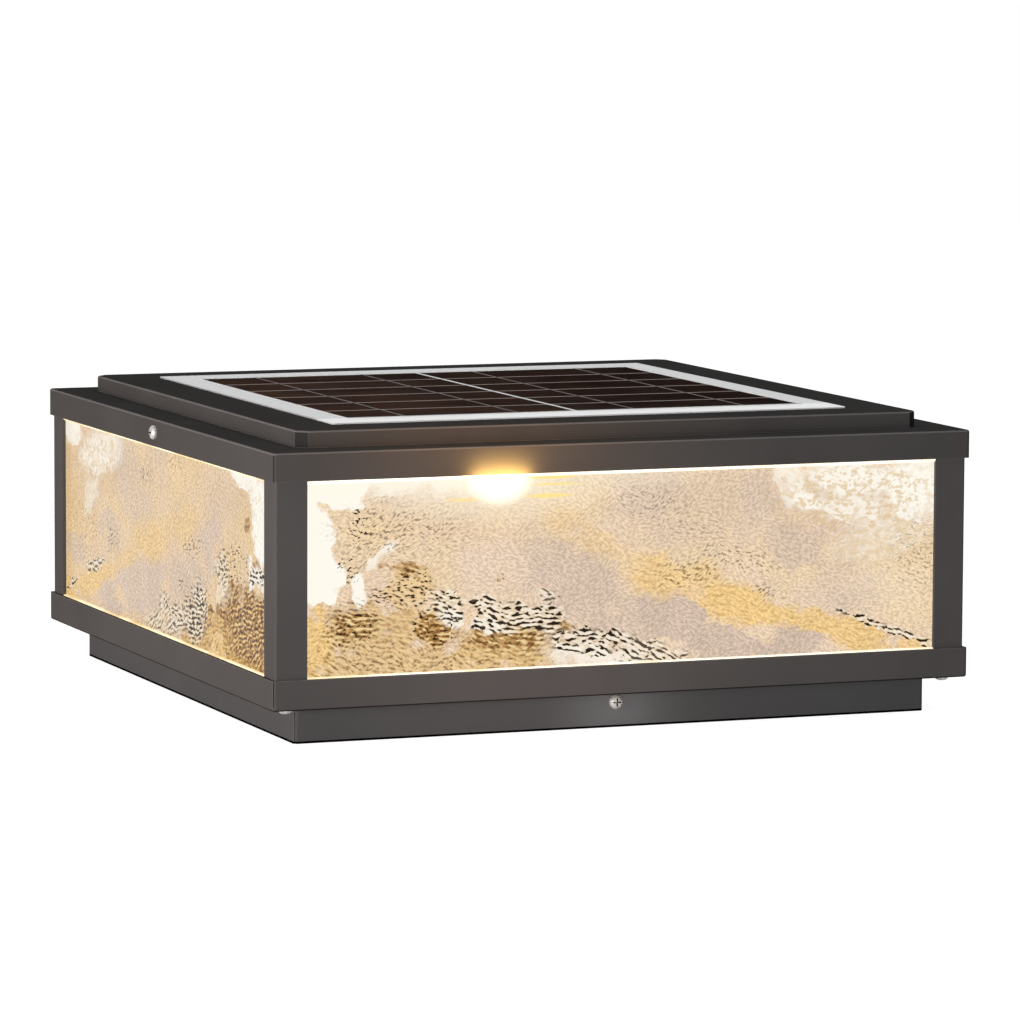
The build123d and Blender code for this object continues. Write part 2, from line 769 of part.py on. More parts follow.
with BuildPart() as bottom_tray:
    with BuildSketch(Plane.XY.offset(z_tray)):
        RectangleRounded(body_side, body_side, bend_outer)
    extrude(amount=tray_band_height)
    fillet(bottom_tray.faces().sort_by(Axis.Z)[0].edges(), press_round)
    with BuildSketch(Plane.XY.offset(z_floor)):
        RectangleRounded(inner_side, inner_side, bend_radius)
    extrude(amount=tray_band_height - sheet, mode=Mode.SUBTRACT)
    with BuildSketch(Plane.XY.offset(z_floor)):
        with PolarLocations(body_half * 2**0.5, 4, start_angle=45):
            Rectangle(seam_reach, seam_gap)
    extrude(amount=tray_band_height - sheet, mode=Mode.SUBTRACT)
    with BuildSketch(Plane.XY.offset(z_floor)):
        with PolarLocations(stop_face - post_lip / 2, 4):
            Rectangle(post_lip, bay_length)
    extrude(amount=stop_height)
    with BuildSketch(Plane.XY.offset(z_tray)):
        with GridLocations(2 * port_centre, 2 * port_centre, 2, 2):
            Circle(screw_hole)
        with GridLocations(weep_spread, weep_spread, 2, 2):
            Circle(weep_radius)
        with Locations(*rivet_points):
            Circle(rivet_radius + rivet_fit)
    extrude(amount=sheet, mode=Mode.SUBTRACT)
save(bottom_tray, "bottom_tray")

with BuildPart() as tray_screws:
    with Locations(Plane(origin=(0, 0, z_tray), z_dir=(0, 0, -1))):
        with GridLocations(2 * port_centre, 2 * port_centre, 2, 2):
            add(post_screw)
save(tray_screws, "tray_screws")

with BuildPart() as skirt_rivets:
    with BuildSketch(Plane.XY.offset(z_floor)):
        with Locations(*rivet_points):
            Circle(rivet_head_radius)
    extrude(amount=rivet_head_height)
    fillet(skirt_rivets.edges().group_by(Axis.Z)[-1], rivet_head_height / 2)
    with BuildSketch(Plane.XY.offset(z_tray - sheet)):
        with Locations(*rivet_points):
            Circle(rivet_radius)
    extrude(amount=2 * sheet)
    with BuildSketch(Plane.XY.offset(z_tray - sheet)):
        with Locations(*rivet_points):
            Circle(rivet_bulb_radius)
    extrude(amount=-rivet_bulb_height)
    fillet(skirt_rivets.edges().group_by(Axis.Z)[0], rivet_bulb_height / 2)
save(skirt_rivets, "skirt_rivets")

# Base skirt: folded plinth with an inward flange under the tray
skirt_screw_faces = [
    Plane(origin=(0, side * plinth_half, skirt_screw_height), x_dir=(1, 0, 0), z_dir=(0, side, 0))
    for side in (-1, 1)
]

with BuildPart() as base_skirt:
    with BuildSketch():
        RectangleRounded(plinth_side, plinth_side, bend_outer)
        RectangleRounded(plinth_side - 2 * sheet, plinth_side - 2 * sheet, bend_radius, mode=Mode.SUBTRACT)
    extrude(amount=plinth_height)
    with BuildSketch():
        with PolarLocations(plinth_half * 2**0.5, 4, start_angle=45):
            Rectangle(seam_reach, seam_gap)
    extrude(amount=plinth_height - sheet, mode=Mode.SUBTRACT)
    with BuildSketch(Plane.XY.offset(z_tray - sheet)):
        RectangleRounded(plinth_side, plinth_side, bend_outer)
        Rectangle(plinth_side - 2 * plinth_flange, plinth_side - 2 * plinth_flange, mode=Mode.SUBTRACT)
        with Locations(*rivet_points):
            Circle(rivet_radius + rivet_fit, mode=Mode.SUBTRACT)
    extrude(amount=sheet)
    for face in skirt_screw_faces:
        with BuildSketch(face):
            Circle(screw_hole)
        extrude(amount=-sheet, mode=Mode.SUBTRACT)
save(base_skirt, "base_skirt")

skirt_grip = sheet + skirt_gap + bracket_sheet + nut_seat_gap
skirt_screw = pan_screw(skirt_grip + nut_thickness + screw_tip)
with BuildPart() as skirt_screws:
    with Locations(*skirt_screw_faces):
        add(skirt_screw)
save(skirt_screws, "skirt_screws")

with BuildPart() as skirt_nuts:
    with Locations(*[face.offset(-skirt_grip) for face in skirt_screw_faces]):
        add(nut)
save(skirt_nuts, "skirt_nuts")

# Pillar bracket: strip folded up at both ends, with open lugs that the skirt screws drop into
lug_face = plinth_half - sheet - skirt_gap
lug_height = z_tray - sheet - lug_gap
fold_line = lug_face - bracket_sheet / 2

with BuildPart() as pillar_bracket:
    with BuildSketch(Plane.YZ):
        with BuildLine():
            FilletPolyline(
                (-fold_line, lug_height),
                (-fold_line, bracket_sheet / 2),
                (fold_line, bracket_sheet / 2),
                (fold_line, lug_height),
                radius=bracket_bend + bracket_sheet / 2,
            )
        trace(line_width=bracket_sheet)
    extrude(amount=bracket_width / 2, both=True)
    with BuildSketch(Plane.XZ):
        with Locations((0, skirt_screw_height)):
            Circle(screw_hole)
            Rectangle(2 * screw_hole, lug_height - skirt_screw_height, align=(Align.CENTER, Align.MIN))
    extrude(amount=lug_face, both=True, mode=Mode.SUBTRACT)
    with BuildSketch():
        with GridLocations(0, anchor_spacing, 1, 2):
            SlotOverall(anchor_slot_length, anchor_slot_width, rotation=90)
    extrude(amount=bracket_sheet, mode=Mode.SUBTRACT)
save(pillar_bracket, "pillar_bracket")
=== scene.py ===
"""Solar pillar light: finishes, rippled panes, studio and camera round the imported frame.

Lengths are in metres, in the frame's own axes: X to the right along the front, Y to the back, Z up.
Only the pattern of the panes is in millimetres.
"""

import json
import logging
import math
from dataclasses import dataclass
from enum import Enum
from typing import ClassVar

import bpy
from mathutils import Matrix, Vector, noise

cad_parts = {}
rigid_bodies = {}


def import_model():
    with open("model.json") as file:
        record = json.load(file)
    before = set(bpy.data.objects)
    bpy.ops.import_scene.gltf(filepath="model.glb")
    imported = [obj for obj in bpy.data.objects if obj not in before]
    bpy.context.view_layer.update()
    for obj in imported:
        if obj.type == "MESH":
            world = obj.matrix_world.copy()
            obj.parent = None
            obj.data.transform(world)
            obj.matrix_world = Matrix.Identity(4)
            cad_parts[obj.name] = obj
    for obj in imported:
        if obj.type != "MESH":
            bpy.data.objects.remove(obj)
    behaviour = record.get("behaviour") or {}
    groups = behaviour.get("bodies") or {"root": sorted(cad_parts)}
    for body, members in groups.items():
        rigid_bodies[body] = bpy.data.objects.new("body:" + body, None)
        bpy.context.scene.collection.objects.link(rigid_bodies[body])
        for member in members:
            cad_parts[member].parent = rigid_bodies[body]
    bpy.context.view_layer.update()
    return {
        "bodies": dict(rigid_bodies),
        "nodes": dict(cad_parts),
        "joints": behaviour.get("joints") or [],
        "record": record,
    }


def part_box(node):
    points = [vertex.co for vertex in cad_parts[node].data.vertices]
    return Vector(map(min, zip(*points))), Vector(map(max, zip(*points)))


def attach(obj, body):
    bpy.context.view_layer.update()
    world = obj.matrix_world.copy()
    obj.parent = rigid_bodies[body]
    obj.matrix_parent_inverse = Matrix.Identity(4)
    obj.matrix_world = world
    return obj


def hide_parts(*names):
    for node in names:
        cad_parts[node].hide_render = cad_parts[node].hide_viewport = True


Colour = tuple[float, float, float]
Point = tuple[float, float, float]
Range = tuple[float, float]
Socket = bpy.types.NodeSocket
Feed = Socket | float | tuple[float, ...]

LOG = logging.getLogger("solar_pillar_light")
MM = 0.001
UP: Point = (0.0, 0.0, 1.0)
# Most values of a noise texture lie in this range, round this mean.
NOISE_BULK: Range = (0.3, 0.7)
NOISE_MEAN: Point = (0.5, 0.5, 0.5)
# A wave texture of scale 1 turns by this many radians in a unit of length.
WAVE_RADIANS = 20.0


def display(red: int, green: int, blue: int) -> Colour:
    """Turns a display colour into linear light.

    Args:
        red: red, from 0 to 255.
        green: green, from 0 to 255.
        blue: blue, from 0 to 255.

    Returns:
        The colour as linear red, green and blue.
    """
    full = 255
    toe_end, toe_slope = 0.04045, 12.92
    offset, power = 0.055, 2.4
    shares = [channel / full for channel in (red, green, blue)]
    return tuple(s / toe_slope if s <= toe_end else ((s + offset) / (1 + offset)) ** power for s in shares)


class Side(Enum):
    """A side of the lantern, valued by its quarter turn from the front in degrees."""

    FRONT = 0
    RIGHT = 90
    BACK = 180
    LEFT = 270

    @property
    def label(self) -> str:
        """The side's name as it stands in the names of pieces."""
        return self.name.lower()

    @property
    def along(self) -> Vector:
        """The direction to the right, for someone who faces this side."""
        return Vector((1, 0, 0)) @ Matrix.Rotation(-math.radians(self.value), 3, "Z")

    @property
    def outward(self) -> Vector:
        """The direction out of the lantern through this side."""
        return Vector((0, -1, 0)) @ Matrix.Rotation(-math.radians(self.value), 3, "Z")

    @property
    def mirrored(self) -> bool:
        """Whether the glass pattern runs the other way, so that it meets itself at the posts."""
        return self in (Side.RIGHT, Side.LEFT)


class Wiring:
    """Adds nodes to one shader tree and links them."""

    def __init__(self, tree: bpy.types.NodeTree) -> None:
        """Keeps the tree that the nodes go into."""
        self.tree = tree

    def feed(self, socket: Socket, value: Feed) -> None:
        """Links an output to an input, or sets the input's own value.

        Args:
            socket: the input.
            value: an output socket, a number, a vector or a colour.
        """
        if isinstance(value, bpy.types.NodeSocket):
            self.tree.links.new(value, socket)
        elif socket.type == "RGBA" and len(value) == 3:
            socket.default_value = (*value, 1.0)
        else:
            socket.default_value = value

    def add(
        self, kind: str, inputs: dict[str | int, Feed] | None = None, **settings: object
    ) -> bpy.types.Node:
        """Adds one node.

        Args:
            kind: Blender's name of the node type.
            inputs: values or outputs for its inputs, by name or number.
            settings: the node's own properties.

        Returns:
            The new node.
        """
        node = self.tree.nodes.new(kind)
        for name, value in settings.items():
            setattr(node, name, value)
        for key, value in (inputs or {}).items():
            self.feed(node.inputs[key], value)
        return node

    def math(self, operation: str, first: Feed, second: Feed = 0.0, clamp: bool = False) -> Socket:
        """Does arithmetic on numbers.

        Args:
            operation: Blender's name of the operation.
            first: the first number.
            second: the second number.
            clamp: whether the result is kept from 0 to 1.

        Returns:
            The result.
        """
        inputs = {0: first, 1: second}
        return self.add("ShaderNodeMath", inputs, operation=operation, use_clamp=clamp).outputs[0]

    def times(self, first: Feed, second: Feed) -> Socket:
        """Multiplies two numbers."""
        return self.math("MULTIPLY", first, second)

    def most(self, first: Feed, second: Feed) -> Socket:
        """Takes the larger of two numbers."""
        return self.math("MAXIMUM", first, second)

    def vector(self, operation: str, first: Feed, second: Feed | None = None) -> Socket:
        """Does arithmetic on vectors.

        Args:
            operation: Blender's name of the operation.
            first: the first vector.
            second: the second vector, or a number for SCALE.

        Returns:
            The resulting vector, or a number for LENGTH and DOT_PRODUCT.
        """
        inputs = {0: first}
        if second is not None:
            inputs[3 if operation == "SCALE" else 1] = second
        node = self.add("ShaderNodeVectorMath", inputs, operation=operation)
        return node.outputs[1 if operation in ("LENGTH", "DOT_PRODUCT") else 0]

    def parts(self, vector: Feed) -> dict[str, Socket]:
        """Takes a vector apart into its X, Y and Z."""
        outputs = self.add("ShaderNodeSeparateXYZ", {0: vector}).outputs
        return {axis: outputs[axis] for axis in "XYZ"}

    def turned(self, vector: Feed, angle: Feed) -> Socket:
        """Turns a vector about Z."""
        inputs = {"Vector": vector, "Angle": angle}
        return self.add("ShaderNodeVectorRotate", inputs, rotation_type="Z_AXIS").outputs[0]

    def mix(self, share: Feed, first: Feed, second: Feed, blend: str = "MIX") -> Socket:
        """Mixes two colours.

        Args:
            share: how much of the second colour shows.
            first: the colour at 0.
            second: the colour at 1.
            blend: Blender's name of the blend.

        Returns:
            The mixed colour.
        """
        inputs = {0: share, 6: first, 7: second}
        return self.add("ShaderNodeMix", inputs, data_type="RGBA", blend_type=blend).outputs[2]

    def tint(self, colour: Feed, tint: Feed) -> Socket:
        """Multiplies a colour by another colour or by a number."""
        return self.mix(1.0, colour, tint, "MULTIPLY")

    def spread(
        self, value: Feed, low: float, high: float, bottom: float = 0.0, top: float = 1.0
    ) -> Socket:
        """Maps a number smoothly from one range to another, held at both ends.

        Args:
            value: the number.
            low: the value that gives bottom.
            high: the value that gives top.
            bottom: the result at low.
            top: the result at high.

        Returns:
            The mapped number.
        """
        inputs = {"Value": value, "From Min": low, "From Max": high, "To Min": bottom, "To Max": top}
        return self.add("ShaderNodeMapRange", inputs, interpolation_type="SMOOTHSTEP").outputs[0]

    def between(self, share: Feed, bottom: float, top: float) -> Socket:
        """Maps a share, from 0 to 1, smoothly to a range."""
        return self.spread(share, 0.0, 1.0, bottom, top)

    def noise(self, place: Feed, scale: Feed, detail: float = 2.0, twist: float = 0.0) -> bpy.types.Node:
        """Adds a noise texture.

        Args:
            place: where it is read.
            scale: features per unit of length.
            detail: how many finer layers it has.
            twist: how far it is distorted.

        Returns:
            The noise node, with a factor as its first output and a Color output.
        """
        inputs = {"Vector": place, "Scale": scale, "Detail": detail, "Distortion": twist}
        return self.add("ShaderNodeTexNoise", inputs)

    def bump(self, height: Feed, depth: float, strength: float = 1.0) -> Socket:
        """Turns a height into a normal.

        Args:
            height: the height, from 0 to 1.
            depth: the relief at height 1, in metres.
            strength: the share of the relief that shows.

        Returns:
            The bumped normal.
        """
        inputs = {"Height": height, "Distance": depth, "Strength": strength}
        return self.add("ShaderNodeBump", inputs).outputs["Normal"]

    def where(self) -> Socket:
        """The place on the piece, in the piece's own axes."""
        return self.add("ShaderNodeTexCoord").outputs["Object"]

    def facing(self) -> Socket:
        """The direction that the surface faces."""
        return self.add("ShaderNodeNewGeometry").outputs["Normal"]

    def place(self, effect: bpy.types.NodeTree, inputs: dict[str, Feed]) -> dict[str, Socket]:
        """Puts a shared effect into this tree.

        Args:
            effect: the effect's node group.
            inputs: values or outputs for its inputs.

        Returns:
            The group's outputs by name.
        """
        node = self.add("ShaderNodeGroup", node_tree=effect)
        for label, value in inputs.items():
            self.feed(node.inputs[label], value)
        return {output.name: output for output in node.outputs}


GroupStart = tuple[Wiring, bpy.types.Node, bpy.types.Node]


class Effects:
    """The shader node groups that several finishes share, each built once."""

    def __init__(self) -> None:
        """Builds every group."""
        self.fine_grain = self._fine_grain()
        self.edge_wear_and_highlight = self._edge_wear_and_highlight()
        self.corner_shade = self._corner_shade()
        self.settled_dust = self._settled_dust()
        self.brushing = self._brushing()
        self.pane_patch = self._pane_patch()

    @staticmethod
    def _group(name: str, inputs: dict[str, float | Point], outputs: tuple[str, ...]) -> GroupStart:
        """Starts a group with its named sockets.

        Args:
            name: the group's name.
            inputs: each input's default, a vector where it has three numbers.
            outputs: the names of its outputs, all numbers.

        Returns:
            The wiring of the group, its entry node and its exit node.
        """
        tree = bpy.data.node_groups.new(name, "ShaderNodeTree")
        for label, default in inputs.items():
            kind = "NodeSocketVector" if isinstance(default, tuple) else "NodeSocketFloat"
            socket = tree.interface.new_socket(label, in_out="INPUT", socket_type=kind)
            socket.default_value = default
        for label in outputs:
            tree.interface.new_socket(label, in_out="OUTPUT", socket_type="NodeSocketFloat")
        wiring = Wiring(tree)
        return wiring, wiring.add("NodeGroupInput"), wiring.add("NodeGroupOutput")

    def _fine_grain(self) -> bpy.types.NodeTree:
        """Orange peel of a coating or skin of a moulding: a fine height and a broad mottle.

        Returns:
            The node group.
        """
        inputs = {"Scale": 1000.0, "Broad": 20.0}
        wiring, entry, out = self._group("fine_grain", inputs, ("Height", "Mottle"))
        place = wiring.where()
        peel = wiring.noise(place, entry.outputs["Scale"], detail=3.0).outputs[0]
        broad = wiring.noise(place, entry.outputs["Broad"], detail=4.0, twist=0.4).outputs[0]
        wiring.feed(out.inputs["Height"], peel)
        wiring.feed(out.inputs["Mottle"], wiring.spread(broad, *NOISE_BULK))
        return wiring.tree

    def _edge_wear_and_highlight(self) -> bpy.types.NodeTree:
        """Rubbed edges, where the rounded normal leaves the face's own, and a painted highlight on upper
        edges and on the upper bends of a sheet.

        Returns:
            The node group.
        """
        inputs = {"Radius": 0.8 * MM, "Scale": 150.0}
        wiring, entry, out = self._group("edge_wear_and_highlight", inputs, ("Mask", "Highlight"))
        rounded = wiring.add("ShaderNodeBevel", {"Radius": entry.outputs["Radius"]}, samples=6).outputs[0]
        flat = wiring.facing()
        match = wiring.vector("DOT_PRODUCT", rounded, flat)
        edge = wiring.spread(match, low=0.995, high=0.86)
        patchy = wiring.noise(wiring.where(), entry.outputs["Scale"], detail=3.0).outputs[0]
        broken = wiring.spread(patchy, low=0.3, high=0.62, bottom=0.35)
        # Painted highlight: upper edges, where the rounded normal rises, and bends that lean up are lit as
        # if from above.
        rise = wiring.vector("DOT_PRODUCT", rounded, UP)
        sharp = wiring.times(edge, wiring.spread(rise, low=0.15, high=0.5))
        tilt = wiring.vector("DOT_PRODUCT", flat, UP)
        leaning = wiring.spread(tilt, low=0.1, high=0.35)
        bend = wiring.times(leaning, wiring.spread(tilt, low=0.97, high=0.8))
        wiring.feed(out.inputs["Mask"], wiring.times(edge, broken))
        wiring.feed(out.inputs["Highlight"], wiring.most(sharp, bend))
        return wiring.tree

    def _corner_shade(self) -> bpy.types.NodeTree:
        """Upright faces in an inner corner, which see less of the light.

        Returns:
            The node group.
        """
        wiring, entry, out = self._group("corner_shade", {"Distance": 9.0 * MM}, ("Mask",))
        inputs = {"Distance": entry.outputs["Distance"]}
        seen = wiring.add("ShaderNodeAmbientOcclusion", inputs, samples=8, only_local=True).outputs["AO"]
        level = wiring.math("ABSOLUTE", wiring.vector("DOT_PRODUCT", wiring.facing(), UP))
        shut = wiring.spread(seen, low=0.95, high=0.5)
        upright = wiring.spread(level, low=0.7, high=0.3)
        wiring.feed(out.inputs["Mask"], wiring.times(shut, upright))
        return wiring.tree

    def _settled_dust(self) -> bpy.types.NodeTree:
        """Dust that lies on faces that look up.

        Returns:
            The node group.
        """
        wiring, entry, out = self._group("settled_dust", {"Scale": 60.0}, ("Mask",))
        level = wiring.vector("DOT_PRODUCT", wiring.facing(), UP)
        drift = wiring.noise(wiring.where(), entry.outputs["Scale"], detail=6.0, twist=0.6).outputs[0]
        flat = wiring.spread(level, low=0.6, high=0.98)
        thick = wiring.spread(drift, low=0.42, high=0.75)
        wiring.feed(out.inputs["Mask"], wiring.times(flat, thick))
        return wiring.tree

    def _brushing(self) -> bpy.types.NodeTree:
        """Fine parallel scratches along one axis.

        Returns:
            The node group.
        """
        inputs = {"Scale": 900.0, "Stretch": (0.06, 1.0, 1.0)}
        wiring, entry, out = self._group("brushing", inputs, ("Streak",))
        drawn = wiring.vector("MULTIPLY", wiring.where(), entry.outputs["Stretch"])
        lines = wiring.noise(drawn, entry.outputs["Scale"], detail=4.0).outputs[0]
        wiring.feed(out.inputs["Streak"], wiring.spread(lines, *NOISE_BULK))
        return wiring.tree

    def _pane_patch(self) -> bpy.types.NodeTree:
        """One turned oval patch of a pane, in millimetres from the pane's lower corner.

        Returns:
            The node group.
        """
        inputs = {
            "Place": (0.0, 0.0, 0.0),
            "Centre": (0.0, 0.0, 0.0),
            "Reach": (1.0, 1.0, 1.0),
            "Turn": 0.0,
            "Edge": 0.3,
            "Strength": 1.0,
        }
        wiring, entry, out = self._group("pane_patch", inputs, ("Mask",))
        aside = wiring.vector("SUBTRACT", entry.outputs["Place"], entry.outputs["Centre"])
        level = wiring.turned(aside, wiring.times(entry.outputs["Turn"], -1.0))
        away = wiring.vector("LENGTH", wiring.vector("DIVIDE", level, entry.outputs["Reach"]))
        inside = wiring.math("SUBTRACT", 1.0, away)
        half_way = 0.5
        soft = wiring.math("DIVIDE", inside, entry.outputs["Edge"])
        mask = wiring.math("ADD", soft, half_way, clamp=True)
        wiring.feed(out.inputs["Mask"], wiring.times(mask, entry.outputs["Strength"]))
        return wiring.tree


class Work(Wiring):
    """One material in the making, with its shader and the shared effects at hand."""

    def __init__(self, name: str, effects: Effects) -> None:
        """Makes an empty material with one Principled shader.

        Args:
            name: the material's name.
            effects: the shared node groups.
        """
        self.material = bpy.data.materials.new(name)
        self.material.use_nodes = True
        super().__init__(self.material.node_tree)
        self.effects = effects
        self.shader = self.tree.nodes["Principled BSDF"]

    def paint(self, label: str, value: Feed) -> None:
        """Feeds one input of the shader."""
        self.feed(self.shader.inputs[label], value)

    def grain(self, scale: float, broad: float) -> dict[str, Socket]:
        """The fine Height and the broad Mottle of a coating or moulding."""
        return self.place(self.effects.fine_grain, {"Scale": scale, "Broad": broad})

    def edge_wear_and_highlight(self, radius: float, scale: float) -> dict[str, Socket]:
        """The Mask of all rubbed edges, and the painted Highlight of upper edges and bends alone."""
        return self.place(self.effects.edge_wear_and_highlight, {"Radius": radius, "Scale": scale})

    def corner_shade(self, distance: float) -> Socket:
        """The mask of upright faces in inner corners."""
        return self.place(self.effects.corner_shade, {"Distance": distance})["Mask"]

    def dust(self, scale: float) -> Socket:
        """The mask of dust on faces that look up."""
        return self.place(self.effects.settled_dust, {"Scale": scale})["Mask"]

    def brushing(self, scale: float, stretch: Point) -> Socket:
        """The streaks of fine parallel scratches."""
        return self.place(self.effects.brushing, {"Scale": scale, "Stretch": stretch})["Streak"]


class Finish:
    """What a surface is made of, which lays itself on a new material."""

    def lay(self, work: Work) -> None:
        """Wires the finish's material.

        Args:
            work: the material in the making.
        """
        raise NotImplementedError


@dataclass(frozen=True)
class PowderCoat(Finish):
    """Dark charcoal powder coat on folded sheet and extrusion."""

    colour: Colour = (0.066, 0.063, 0.062)
    pale: Colour = (0.074, 0.071, 0.070)
    wear_and_highlight: Colour = (0.24, 0.23, 0.225)
    dust: Colour = (0.16, 0.15, 0.14)
    gloom: Colour = (0.88, 0.88, 0.88)
    chamfer_shade: Colour = (1.0, 1.0, 1.0)
    shadow_line_colour: Colour = (0.001, 0.001, 0.001)
    shadow_line_height: float = 0.0
    peel_scale: float = 1300.0
    mottle_scale: float = 14.0
    dust_scale: float = 45.0
    wear_scale: float = 150.0
    edge: float = 0.5 * MM
    corner: float = 9.0 * MM
    slant: Range = (0.5, 0.6)
    rub: float = 0.2
    highlight_share: float = 0.34
    dust_share: float = 0.05
    roughness: Range = (0.44, 0.54)
    peel: float = 0.05 * MM
    peel_show: float = 0.35
    sheen: float = 0.0

    def lay(self, work: Work) -> None:
        """Mottled charcoal with orange peel, pale edges that are partly wear and partly painted highlight,
        a painted highlight on upper edges and bends, painted shade in inner corners and on the chamfers, a
        trace of dust, and a painted shadow line at the foot.

        Args:
            work: the material in the making.
        """
        grain = work.grain(self.peel_scale, self.mottle_scale)
        wear = work.edge_wear_and_highlight(self.edge, self.wear_scale)
        dust = work.dust(self.dust_scale)
        corner = work.corner_shade(self.corner)
        coat = work.mix(grain["Mottle"], self.colour, self.pale)
        coat = work.mix(corner, coat, work.tint(coat, self.gloom))
        # Painted shade: faces that slant between X and Y, such as the cover's chamfers, are tinted darker.
        sideways = work.parts(work.vector("ABSOLUTE", work.facing()))
        slanted = work.spread(work.math("MINIMUM", sideways["X"], sideways["Y"]), *self.slant)
        coat = work.mix(slanted, coat, work.tint(coat, self.chamfer_shade))
        # Edges lighten towards one pale colour: all round partly as wear and partly as painted highlight,
        # on upper edges and bends as painted highlight.
        all_round = work.times(wear["Mask"], self.rub)
        painted_highlight = work.times(wear["Highlight"], self.highlight_share)
        coat = work.mix(work.math("ADD", all_round, painted_highlight), coat, self.wear_and_highlight)
        coat = work.mix(work.times(dust, self.dust_share), coat, self.dust)
        # Painted shadow: a near-black line below a given height, along the foot of the piece.
        height = work.parts(work.where())["Z"]
        coat = work.mix(work.math("LESS_THAN", height, self.shadow_line_height), coat, self.shadow_line_colour)
        work.paint("Base Color", coat)
        work.paint("Roughness", work.between(grain["Mottle"], *self.roughness))
        work.paint("Normal", work.bump(grain["Height"], self.peel, self.peel_show))
        work.paint("Specular IOR Level", self.sheen)


class Tone(Enum):
    """What a patch of a rippled pane shows, each tone painted as part of the glow of its lit inside."""

    GLARE = "overexposed white"
    GOLD = "warm gold"
    TAN = "sandy brown"
    UMBER = "dark brown"
    ROSE = "grey pink"
    ZEBRA = "black and white waves"
    INK = "dark flecks"
    HONEY = "gold flecks"
    HALO = "cream glow round the LED"
    STREAK = "gold streak beside the LED"
    # The LED's image, painted on the pane.
    CORE = "the LED itself"

    @property
    def smooth(self) -> bool:
        """Whether its patches keep a round border, where the others break into facets."""
        return self in (Tone.HALO, Tone.STREAK, Tone.CORE)


@dataclass(frozen=True)
class Patch:
    """One oval patch of a pane's pattern, in millimetres from the window's lower corner at the near post.

    across and up place its centre, wide and high are its half sizes, turn is in degrees, edge is the
    share of its size over which it fades, and strength is how much of its tone shows.
    """

    across: float
    up: float
    wide: float
    high: float
    turn: float = 0.0
    edge: float = 0.15
    strength: float = 1.0


Pattern = dict[Tone, tuple[Patch, ...]]
Masks = dict[Tone, Feed]
